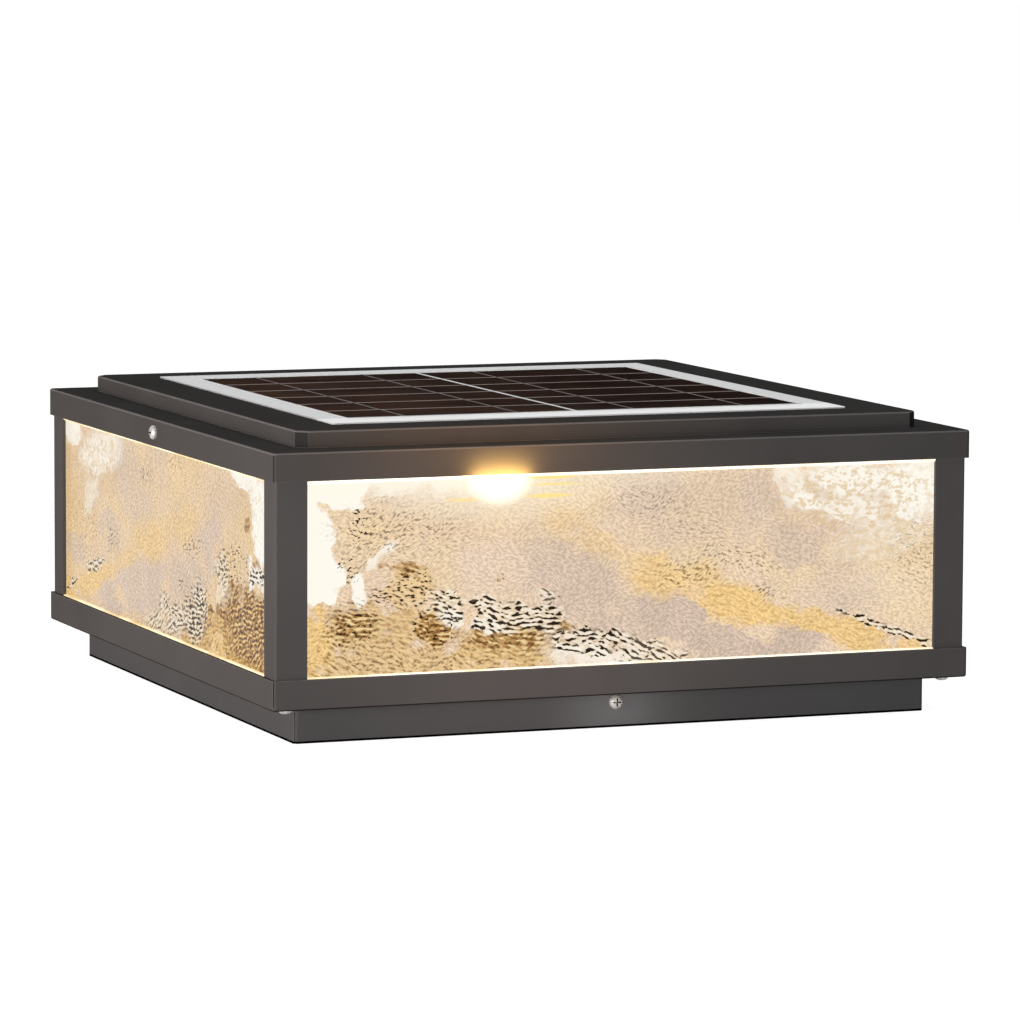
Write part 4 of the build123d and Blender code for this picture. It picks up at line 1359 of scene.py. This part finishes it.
@dataclass(frozen=True)
class CircuitBoard(Finish):
    """Solder mask with raised tracks."""

    mask: Colour = (0.012, 0.11, 0.045)
    track: Colour = (0.03, 0.2, 0.08)
    pitch: float = 2.5 * MM
    track_width: float = 0.08
    run_length: float = 2.0
    track_depth: float = 0.04 * MM
    break_range: Range = (0.3, 0.5)
    grain_scale: float = 1200.0
    mottle_scale: float = 60.0
    roughness: Range = (0.3, 0.42)

    def lay(self, work: Work) -> None:
        """Green mask over a maze of tracks.

        Args:
            work: the material in the making.
        """
        inputs = {
            "Vector": work.where(),
            "Scale": 1 / self.pitch,
            "Mortar Size": self.track_width,
            "Brick Width": self.run_length,
        }
        runs = work.add("ShaderNodeTexBrick", inputs).outputs["Fac"]
        grain = work.grain(self.grain_scale, self.mottle_scale)
        track = work.times(runs, work.spread(grain["Mottle"], *self.break_range))
        work.paint("Base Color", work.mix(track, self.mask, self.track))
        work.paint("Roughness", work.spread(grain["Height"], *NOISE_BULK, *self.roughness))
        work.paint("Normal", work.bump(track, self.track_depth))


@dataclass(frozen=True)
class LitDome(Finish):
    """A lit diffuser or LED: warm light from the piece itself."""

    colour: Colour
    core: Colour
    glow: float
    grain_scale: float = 900.0
    mottle_scale: float = 120.0
    roughness: Range = (0.25, 0.4)

    def lay(self, work: Work) -> None:
        """Warm light with a faint grain.

        Args:
            work: the material in the making.
        """
        grain = work.grain(self.grain_scale, self.mottle_scale)
        light = work.mix(grain["Mottle"], self.colour, self.core)
        work.paint("Base Color", light)
        work.paint("Emission Color", light)
        work.paint("Roughness", work.spread(grain["Height"], *NOISE_BULK, *self.roughness))
        work.paint("Emission Strength", self.glow)


FACE_GLASS = LitRippleGlass(FACE_PATTERN)
# The side panes' copy, its painted glow dimmer and browner.
FLANK_GLASS = LitRippleGlass(
    FLANK_PATTERN,
    blush=display(229, 200, 166),
    peach=display(235, 204, 157),
    umber=display(162, 112, 46),
    tan=display(208, 164, 92),
    crest_highlight=display(238, 202, 132),
    glow=0.84,
)
FACE_BEAD = GlowingBead()
# The side beads' copy, its painted glow dimmer and more amber.
FLANK_BEAD = GlowingBead(display(240, 226, 188), display(206, 184, 126), glow=0.45)

FINISHES: dict[str, Finish] = {
    "powder_coat": PowderCoat(),
    "ripple_glass": FACE_GLASS,
    "stainless": ScrewSteel(),
    "silicon": SiliconCell(),
    "tinned_ribbon": DrawnMetal(
        colour=(0.06, 0.047, 0.042),
        shaded=(0.03, 0.022, 0.02),
        roughness=(0.75, 0.6),
        stretch=(1.0, 0.08, 1.0),
        metallic=0.2,
    ),
    "clear_film": ClearFilm(),
    "box_plastic": MouldedPlastic((0.028, 0.028, 0.03), (0.06, 0.06, 0.062)),
    "battery_wrap": MouldedPlastic(
        (0.03, 0.11, 0.34), (0.06, 0.17, 0.44), rough=0.25, skin=0.01 * MM, grain_scale=700.0, sheen=0.5
    ),
    "circuit_board": CircuitBoard(),
    "component_black": MouldedPlastic((0.014, 0.014, 0.014), (0.035, 0.035, 0.035), rough=0.45),
    "lead_insulation": MouldedPlastic(
        (0.38, 0.02, 0.02), (0.5, 0.05, 0.04), rough=0.4, skin=0.01 * MM, grain_scale=900.0
    ),
    "led_board_white": MouldedPlastic(
        (0.72, 0.71, 0.68), (0.82, 0.81, 0.79), rough=0.4, skin=0.01 * MM, grain_scale=1200.0
    ),
    "led_phosphor": LitDome((1.0, 0.70, 0.28), (1.0, 0.82, 0.45), glow=20.0),
    "lens_diffuser": LitDome((1.0, 0.80, 0.50), (1.0, 0.88, 0.64), glow=18.0),
    "button_plastic": MouldedPlastic((0.45, 0.03, 0.025), (0.58, 0.07, 0.06), rough=0.35),
    "rubber": MouldedPlastic(
        (0.016, 0.016, 0.016),
        (0.032, 0.032, 0.032),
        rough=0.75,
        skin=0.05 * MM,
        grain_scale=1100.0,
        sheen=0.2,
    ),
    "zinc_plate": ZincPlate(),
}


class FinishShelf:
    """Makes each finish's material once and hands it out."""

    def __init__(self) -> None:
        """Builds the shared effects."""
        self.effects = Effects()
        self.made: dict[str, bpy.types.Material] = {}

    def take(self, name: str, finish: Finish) -> bpy.types.Material:
        """Gives a finish's material.

        Args:
            name: the material's name.
            finish: the finish it is made from the first time.

        Returns:
            The material.
        """
        if name not in self.made:
            work = Work(name, self.effects)
            finish.lay(work)
            self.made[name] = work.material
        return self.made[name]


class SubAssembly:
    """Pieces that are finished together."""

    node_names: ClassVar[tuple[str, ...]] = ()

    def own_finishes(self) -> dict[str, Finish]:
        """The nodes whose finish differs from their slot's."""
        return {}

    def dress(self, frame: dict, shelf: FinishShelf) -> None:
        """Gives each node its own finish, or else the finish of its slot.

        Args:
            frame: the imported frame.
            shelf: the finishes.
        """
        slots = {row["node"]: row["material_slot"] for row in frame["record"]["subparts"]}
        own = self.own_finishes()
        for name in self.node_names:
            slot = slots[name]
            if name in own:
                material = shelf.take(f"{slot}_{name}", own[name])
            else:
                material = shelf.take(slot, FINISHES[slot])
            mesh = frame["nodes"][name].data
            mesh.materials.clear()
            mesh.materials.append(material)
            LOG.info("%s: %s", name, material.name)


@dataclass
class Lid(SubAssembly):
    """Pressed cover with the solar panel and its side screws."""

    spine: float = 0.8 * MM

    node_names = (
        "top_cover", "lid_screws", "lid_nuts", "panel_board", "panel_cells", "panel_ribbons", "panel_film",
    )

    def own_finishes(self) -> dict[str, Finish]:
        """A copy of the coat painted darker on the cover as painted shade, with painted shade on its
        chamfers, and a board that knows where the cells lie on it.

        Returns:
            The two finishes by node.
        """
        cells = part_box("panel_cells")[1]
        # Painted shade: the cover's coat is a darker copy of the others, and its chamfers are darker still.
        coat = PowderCoat((0.057, 0.055, 0.054), (0.064, 0.062, 0.061), chamfer_shade=(0.42, 0.42, 0.43))
        return {"top_cover": coat, "panel_board": PanelLaminate((cells.x, cells.y), self.spine)}


class LightEngine(SubAssembly):
    """Driver box under the lid, with battery, board, leads, LED and switch."""

    node_names = (
        "driver_box", "box_standoffs", "box_screws", "battery_holder", "battery_contacts", "battery_cells",
        "control_board", "board_parts", "panel_leads", "battery_leads", "led_leads", "switch_leads",
        "led_board", "led_chips", "led_lens", "led_screws", "switch_housing", "switch_nut", "switch_button",
    )


@dataclass
class Base(SubAssembly):
    """Plinth with its rivets and screws, and the bracket that it hangs on."""

    shadow_line_height: float = 0.9 * MM

    node_names = ("base_skirt", "skirt_rivets", "skirt_screws", "skirt_nuts", "pillar_bracket")

    def own_finishes(self) -> dict[str, Finish]:
        """A copy of the coat painted cooler and a little lighter on the plinth as painted light, with a
        painted shadow line along its foot.
        """
        return {"base_skirt": PowderCoat((0.068, 0.069, 0.070), (0.076, 0.077, 0.078), shadow_line_height=self.shadow_line_height)}


@dataclass
class Lantern(SubAssembly):
    """Tray, posts and ring, with a rippled pane and two glazing beads on each side."""

    shadow_line_height: float = 0.6 * MM
    step: float = 1.6 * MM
    relief: float = 0.5 * MM
    swell: float = 26.0 * MM
    swell_share: float = 0.35
    hammer: float = 9.0 * MM
    hammer_squash: float = 1.7
    hammer_share: float = 0.3
    mean_depth: float = 0.5
    face_offset: float = 7.3
    calm_rim: float = 3.0 * MM
    bead_reach: float = 1.5 * MM
    lower_show: float = 0.5 * MM
    upper_show: float = 1.5 * MM
    bead_depth: float = 2.0 * MM
    bead_arc_points: int = 5

    node_names = (
        "bottom_tray", "tray_screws", "top_ring", "ring_screws", "lid_gasket", "pane_pads",
        "corner_post_front_left", "corner_post_front_right",
        "corner_post_back_right", "corner_post_back_left",
    )

    def own_finishes(self) -> dict[str, Finish]:
        """A painted shadow line along the tray's lower edge."""
        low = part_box("bottom_tray")[0]
        return {"bottom_tray": PowderCoat(shadow_line_height=low.z + self.shadow_line_height, shadow_line_colour=(0.02, 0.017, 0.016))}

    def build(self, shelf: FinishShelf) -> None:
        """Makes the panes and beads of all four sides.

        Args:
            shelf: the finishes.
        """
        window_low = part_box("bottom_tray")[1].z
        window_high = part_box("top_cover")[0].z
        opening_half = -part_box("corner_post_front_left")[1].x
        face = shelf.take("ripple_glass", FACE_GLASS), shelf.take("glazing_bead", FACE_BEAD)
        flank = shelf.take("ripple_glass_flank", FLANK_GLASS), shelf.take("glazing_bead_flank", FLANK_BEAD)
        edges = {"lower": (window_low, self.lower_show), "highlight": (window_high, -self.upper_show)}
        for side in Side:
            node = f"glass_pane_{side.label}"
            glass, sealant = flank if side.mirrored else face
            pane = self._pane(side, node, window_low, opening_half)
            pane.data.materials.append(glass)
            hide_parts(node)
            self._settle(pane)
            for name, (level, show) in edges.items():
                bead = self._bead(side, node, name, level, show, opening_half)
                bead.data.materials.append(sealant)
                self._settle(bead)

    def _settle(self, piece: bpy.types.Object) -> None:
        """Hangs a piece on the lamp.

        Args:
            piece: a pane or a bead.
        """
        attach(piece, "lamp")
        LOG.info("%s: %d faces", piece.name, len(piece.data.polygons))

    def _depth(self, across: float, up: float, seed: float) -> float:
        """Gives the depth of the ripple at one point of a face.

        Args:
            across: distance along the pane.
            up: height.
            seed: sets one face's ripples apart from another's.

        Returns:
            The depth, from 0 to 1.
        """
        broad = noise.noise(Vector((across / self.swell, up / self.swell, seed)))
        squashed = self.hammer_squash * up / self.hammer
        bent = Vector((across / self.hammer + broad, squashed - broad, seed))
        nearest = noise.voronoi(bent, distance_metric="DISTANCE_SQUARED")[0]
        dimple = min(nearest[1] - nearest[0], 1.0)
        depth = self.mean_depth + self.swell_share * broad - self.hammer_share * dimple
        return min(max(depth, 0.0), 1.0)

    def _pane(self, side: Side, node: str, window_low: float, opening_half: float) -> bpy.types.Object:
        """Makes one rippled pane in the place of a flat one.

        Args:
            side: the side it stands on.
            node: the CAD node whose box it fills.
            window_low: height of the window's lower edge.
            opening_half: half the width between the posts.

        Returns:
            The pane.
        """
        low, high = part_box(node)
        middle = (low + high) / 2
        half_length = abs((high - low).dot(side.along)) / 2
        half_thick = abs((high - low).dot(side.outward)) / 2
        columns = round(2 * half_length / self.step)
        rows = round((high.z - low.z) / self.step)
        direction = -1.0 if side.mirrored else 1.0
        points = []
        places = []
        for face, outward in enumerate((side.outward, -side.outward)):
            seed = side.value + self.face_offset * face
            for row in range(rows + 1):
                for column in range(columns + 1):
                    across = -half_length + 2 * half_length * column / columns
                    up = low.z + (high.z - low.z) * row / rows
                    rim = min(half_length - abs(across), up - low.z, high.z - up)
                    fade = min(rim / self.calm_rim, 1.0)
                    depth = self.relief * fade * self._depth(across, up, seed)
                    base = Vector((middle.x, middle.y, up)) + side.along * across
                    points.append(base + outward * (half_thick - depth))
                    places.append((direction * across + opening_half, up - window_low))
        mesh = bpy.data.meshes.new(f"rippled_pane_{side.label}")
        mesh.from_pydata(points, [], self._slab_faces(columns, rows))
        layer = mesh.uv_layers.new(name="pane")
        for loop in mesh.loops:
            layer.data[loop.index].uv = places[loop.vertex_index]
        rippled_count = 2 * columns * rows
        for polygon in mesh.polygons:
            polygon.use_smooth = polygon.index < rippled_count
        mesh.validate()
        pane = bpy.data.objects.new(mesh.name, mesh)
        bpy.context.scene.collection.objects.link(pane)
        return pane

    @staticmethod
    def _slab_faces(columns: int, rows: int) -> list[tuple[int, ...]]:
        """Lists the faces of a slab with a grid on both sides.

        Args:
            columns: squares along the grid.
            rows: squares up the grid.

        Returns:
            The point numbers of each face: the outer grid, the inner grid, then the rim.
        """
        stride = columns + 1
        back = stride * (rows + 1)
        corners = [(r * stride + c, r * stride + c + 1) for r in range(rows) for c in range(columns)]
        outer = [(a, b, b + stride, a + stride) for a, b in corners]
        inner = [(back + a, back + a + stride, back + b + stride, back + b) for a, b in corners]
        top = rows * stride
        ring = list(range(columns)) + [r * stride + columns for r in range(rows)]
        ring += [top + c for c in range(columns, 0, -1)] + [r * stride for r in range(rows, 0, -1)]
        pairs = zip(ring, ring[1:] + ring[:1])
        rim = [(back + a, back + b, b, a) for a, b in pairs]
        return outer + inner + rim

    def _bead(
        self, side: Side, node: str, name: str, level: float, show: float, opening_half: float
    ) -> bpy.types.Object:
        """Makes a round-nosed bead that fills the joint between a pane and a band.

        Args:
            side: the side it lies on.
            node: the pane's CAD node.
            name: lower or upper.
            level: height of the band's edge.
            show: how far it shows above that edge, less than 0 below it.
            opening_half: half the width between the posts.

        Returns:
            The bead.
        """
        low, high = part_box(node)
        middle = (low + high) / 2
        half_thick = abs((high - low).dot(side.outward)) / 2
        glass_face = abs(middle.dot(side.outward)) + half_thick
        foot = -math.copysign(self.bead_depth, show)
        profile = [(0.0, foot), (self.bead_reach, foot)]
        for index in range(self.bead_arc_points):
            angle = math.pi / 2 * index / (self.bead_arc_points - 1)
            profile.append((self.bead_reach * math.cos(angle), show * math.sin(angle)))
        count = len(profile)
        points = []
        for end in (-opening_half, opening_half):
            for out, rise in profile:
                along = side.along * end + side.outward * (glass_face + out)
                points.append(along + Vector((0.0, 0.0, level + rise)))
        faces = [(i, (i + 1) % count, count + (i + 1) % count, count + i) for i in range(count)]
        faces += [tuple(range(count - 1, -1, -1)), tuple(range(count, 2 * count))]
        mesh = bpy.data.meshes.new(f"glazing_bead_{side.label}_{name}")
        mesh.from_pydata(points, [], faces if show > 0 else [f[::-1] for f in faces])
        mesh.validate()
        bead = bpy.data.objects.new(mesh.name, mesh)
        bpy.context.scene.collection.objects.link(bead)
        return bead


@dataclass(frozen=True)
class SoftBox:
    """One soft rectangular lamp, which lights everything or only the named nodes."""

    name: str
    place: Point
    aim: Point
    wide: float
    high: float
    power: float
    colour: Colour = (1.0, 1.0, 1.0)
    only: tuple[str, ...] = ()

    def hang(self, frame: dict) -> bpy.types.Object:
        """Puts the lamp in the scene.

        Args:
            frame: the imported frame, for the nodes that the lamp lights.

        Returns:
            The lamp.
        """
        data = bpy.data.lights.new(self.name, "AREA")
        data.shape = "RECTANGLE"
        data.size = self.wide
        data.size_y = self.high
        data.energy = self.power
        data.color = self.colour
        lamp = bpy.data.objects.new(self.name, data)
        lamp.location = self.place
        sight = Vector(self.aim) - Vector(self.place)
        lamp.rotation_euler = sight.to_track_quat("-Z", "Y").to_euler()
        lamp.visible_camera = False
        bpy.context.scene.collection.objects.link(lamp)
        if self.only:
            lit = bpy.data.collections.new(f"{self.name}_lights")
            for name in self.only:
                lit.objects.link(frame["nodes"][name])
            lamp.light_linking.receiver_collection = lit
        LOG.info("%s: %g W", self.name, self.power)
        return lamp


MIDDLE: Point = (0.0, 0.0, 0.06)

STUDIO_LAMPS = (
    SoftBox("left_box", (-1.4, -0.35, 0.13), MIDDLE, 1.0, 0.22, power=22.0, colour=(1.0, 0.89, 0.85)),
    SoftBox("front_box", (-0.35, -1.3, 0.12), MIDDLE, 0.8, 0.2, power=7.0, colour=(1.0, 0.99, 0.99)),
    SoftBox("top_box", (0.0, 0.0, 1.6), MIDDLE, 1.2, 1.2, power=7.5),
    SoftBox(
        "plinth_gleam",
        place=(-0.002, -0.155, 0.005),
        aim=(-0.002, -0.14, 0.005),
        wide=0.03,
        high=0.004,
        power=0.0035,
        only=("base_skirt",),
    ),
)

# These stand for the bloom of the LED and the panes, and move with the lamp.
BLOOM_LAMPS = (
    SoftBox(
        "led_haze",
        place=(-0.06, -0.198, 0.132),
        aim=(-0.06, -0.134, 0.115),
        wide=0.06,
        high=0.01,
        power=0.04,
        colour=(1.0, 0.48, 0.16),
        only=("top_cover", "panel_cells"),
    ),
    SoftBox(
        "led_flame",
        place=(-0.055, -0.154, 0.1035),
        aim=(-0.055, -0.150, 0.1075),
        wide=0.022,
        high=0.001,
        power=0.022,
        colour=(1.0, 0.58, 0.16),
    ),
    SoftBox(
        "pane_glow",
        place=(-0.04, -0.23, 0.03),
        aim=(-0.04, -0.15, 0.016),
        wide=0.05,
        high=0.01,
        power=0.03,
        colour=(1.0, 0.72, 0.64),
    ),
)


@dataclass
class Studio:
    """Pale floor, white surroundings, soft lamps and the camera, as fitted to the photograph's edges."""

    floor_half: float = 30.0
    floor_colour: Colour = (0.86, 0.86, 0.86)
    white: Colour = (1.0, 1.0, 1.0)
    shadow_share: float = 0.35
    fill: float = 0.16
    lens: float = 201.65
    sensor: float = 36.0
    far: float = 100.0
    eye: Point = (-0.86727, -2.23647, 0.33943)
    yaw: float = math.radians(21.364)
    pitch: float = math.radians(6.329)
    roll: float = math.radians(0.269)

    def build(self, frame: dict) -> None:
        """Sets up everything round the object.

        Args:
            frame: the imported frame.
        """
        bpy.context.scene.view_settings.view_transform = "Standard"
        self._floor()
        self._surroundings()
        for lamp in STUDIO_LAMPS:
            lamp.hang(frame)
        for lamp in BLOOM_LAMPS:
            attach(lamp.hang(frame), "lamp")
        self._camera()

    def _seen(self, wiring: Wiring) -> Socket:
        """Tells rays that show the background from rays that light the object.

        Args:
            wiring: the tree that asks.

        Returns:
            1 for camera, glossy and transmission rays, or else 0.
        """
        path = wiring.add("ShaderNodeLightPath").outputs
        straight = wiring.most(path["Is Camera Ray"], path["Is Glossy Ray"])
        return wiring.most(straight, path["Is Transmission Ray"])

    def _floor(self) -> None:
        """Makes the pale floor, which shows white and keeps the object's shadow."""
        half = self.floor_half
        mesh = bpy.data.meshes.new("floor")
        corners = [(-half, -half, 0.0), (half, -half, 0.0), (half, half, 0.0), (-half, half, 0.0)]
        mesh.from_pydata(corners, [], [(0, 1, 2, 3)])
        floor = bpy.data.objects.new("floor", mesh)
        bpy.context.scene.collection.objects.link(floor)
        material = bpy.data.materials.new("floor")
        material.use_nodes = True
        wiring = Wiring(material.node_tree)
        material.node_tree.nodes.clear()
        paint = wiring.add("ShaderNodeBsdfDiffuse", {"Color": self.floor_colour})
        shadowed = wiring.add("ShaderNodeBsdfDiffuse", {"Color": (self.shadow_share,) * 3})
        inputs = {"Color": self.white, "Strength": 1.0 - self.fill * self.shadow_share}
        shine = wiring.add("ShaderNodeEmission", inputs)
        shown = wiring.add("ShaderNodeAddShader", {0: shadowed.outputs[0], 1: shine.outputs[0]})
        inputs = {0: self._seen(wiring), 1: paint.outputs[0], 2: shown.outputs[0]}
        mixed = wiring.add("ShaderNodeMixShader", inputs)
        wiring.add("ShaderNodeOutputMaterial", {"Surface": mixed.outputs[0]})
        mesh.materials.append(material)

    def _surroundings(self) -> None:
        """Makes the world white to the eye and a soft fill to the object."""
        world = bpy.data.worlds.new("studio")
        world.use_nodes = True
        wiring = Wiring(world.node_tree)
        world.node_tree.nodes.clear()
        shown = wiring.times(self._seen(wiring), 1.0 - self.fill)
        strength = wiring.math("ADD", shown, self.fill)
        sky = wiring.add("ShaderNodeBackground", {"Color": self.white, "Strength": strength})
        wiring.add("ShaderNodeOutputWorld", {"Surface": sky.outputs[0]})
        bpy.context.scene.world = world

    def _camera(self) -> None:
        """Stands the camera at the photograph's place."""
        forward = Vector((
            math.sin(self.yaw) * math.cos(self.pitch),
            math.cos(self.yaw) * math.cos(self.pitch),
            -math.sin(self.pitch),
        ))
        level = Vector((math.cos(self.yaw), -math.sin(self.yaw), 0.0))
        upright = level.cross(forward)
        right = level * math.cos(self.roll) + upright * math.sin(self.roll)
        up = upright * math.cos(self.roll) - level * math.sin(self.roll)
        data = bpy.data.cameras.new("camera")
        data.sensor_width = self.sensor
        data.lens = self.lens
        data.clip_end = self.far
        camera = bpy.data.objects.new("camera", data)
        turn = Matrix((right, up, -forward)).transposed().to_4x4()
        camera.matrix_world = Matrix.Translation(self.eye) @ turn
        bpy.context.scene.collection.objects.link(camera)
        bpy.context.scene.camera = camera


def main() -> None:
    """Loads the frame, builds and dresses each sub-assembly, and sets up the studio."""
    logging.basicConfig(level=logging.INFO, format="%(name)s: %(message)s")
    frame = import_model()
    shelf = FinishShelf()
    lantern = Lantern()
    lantern.build(shelf)
    for assembly in (Lid(), LightEngine(), lantern, Base()):
        assembly.dress(frame, shelf)
    Studio().build(frame)


if __name__ == "__main__":
    main()
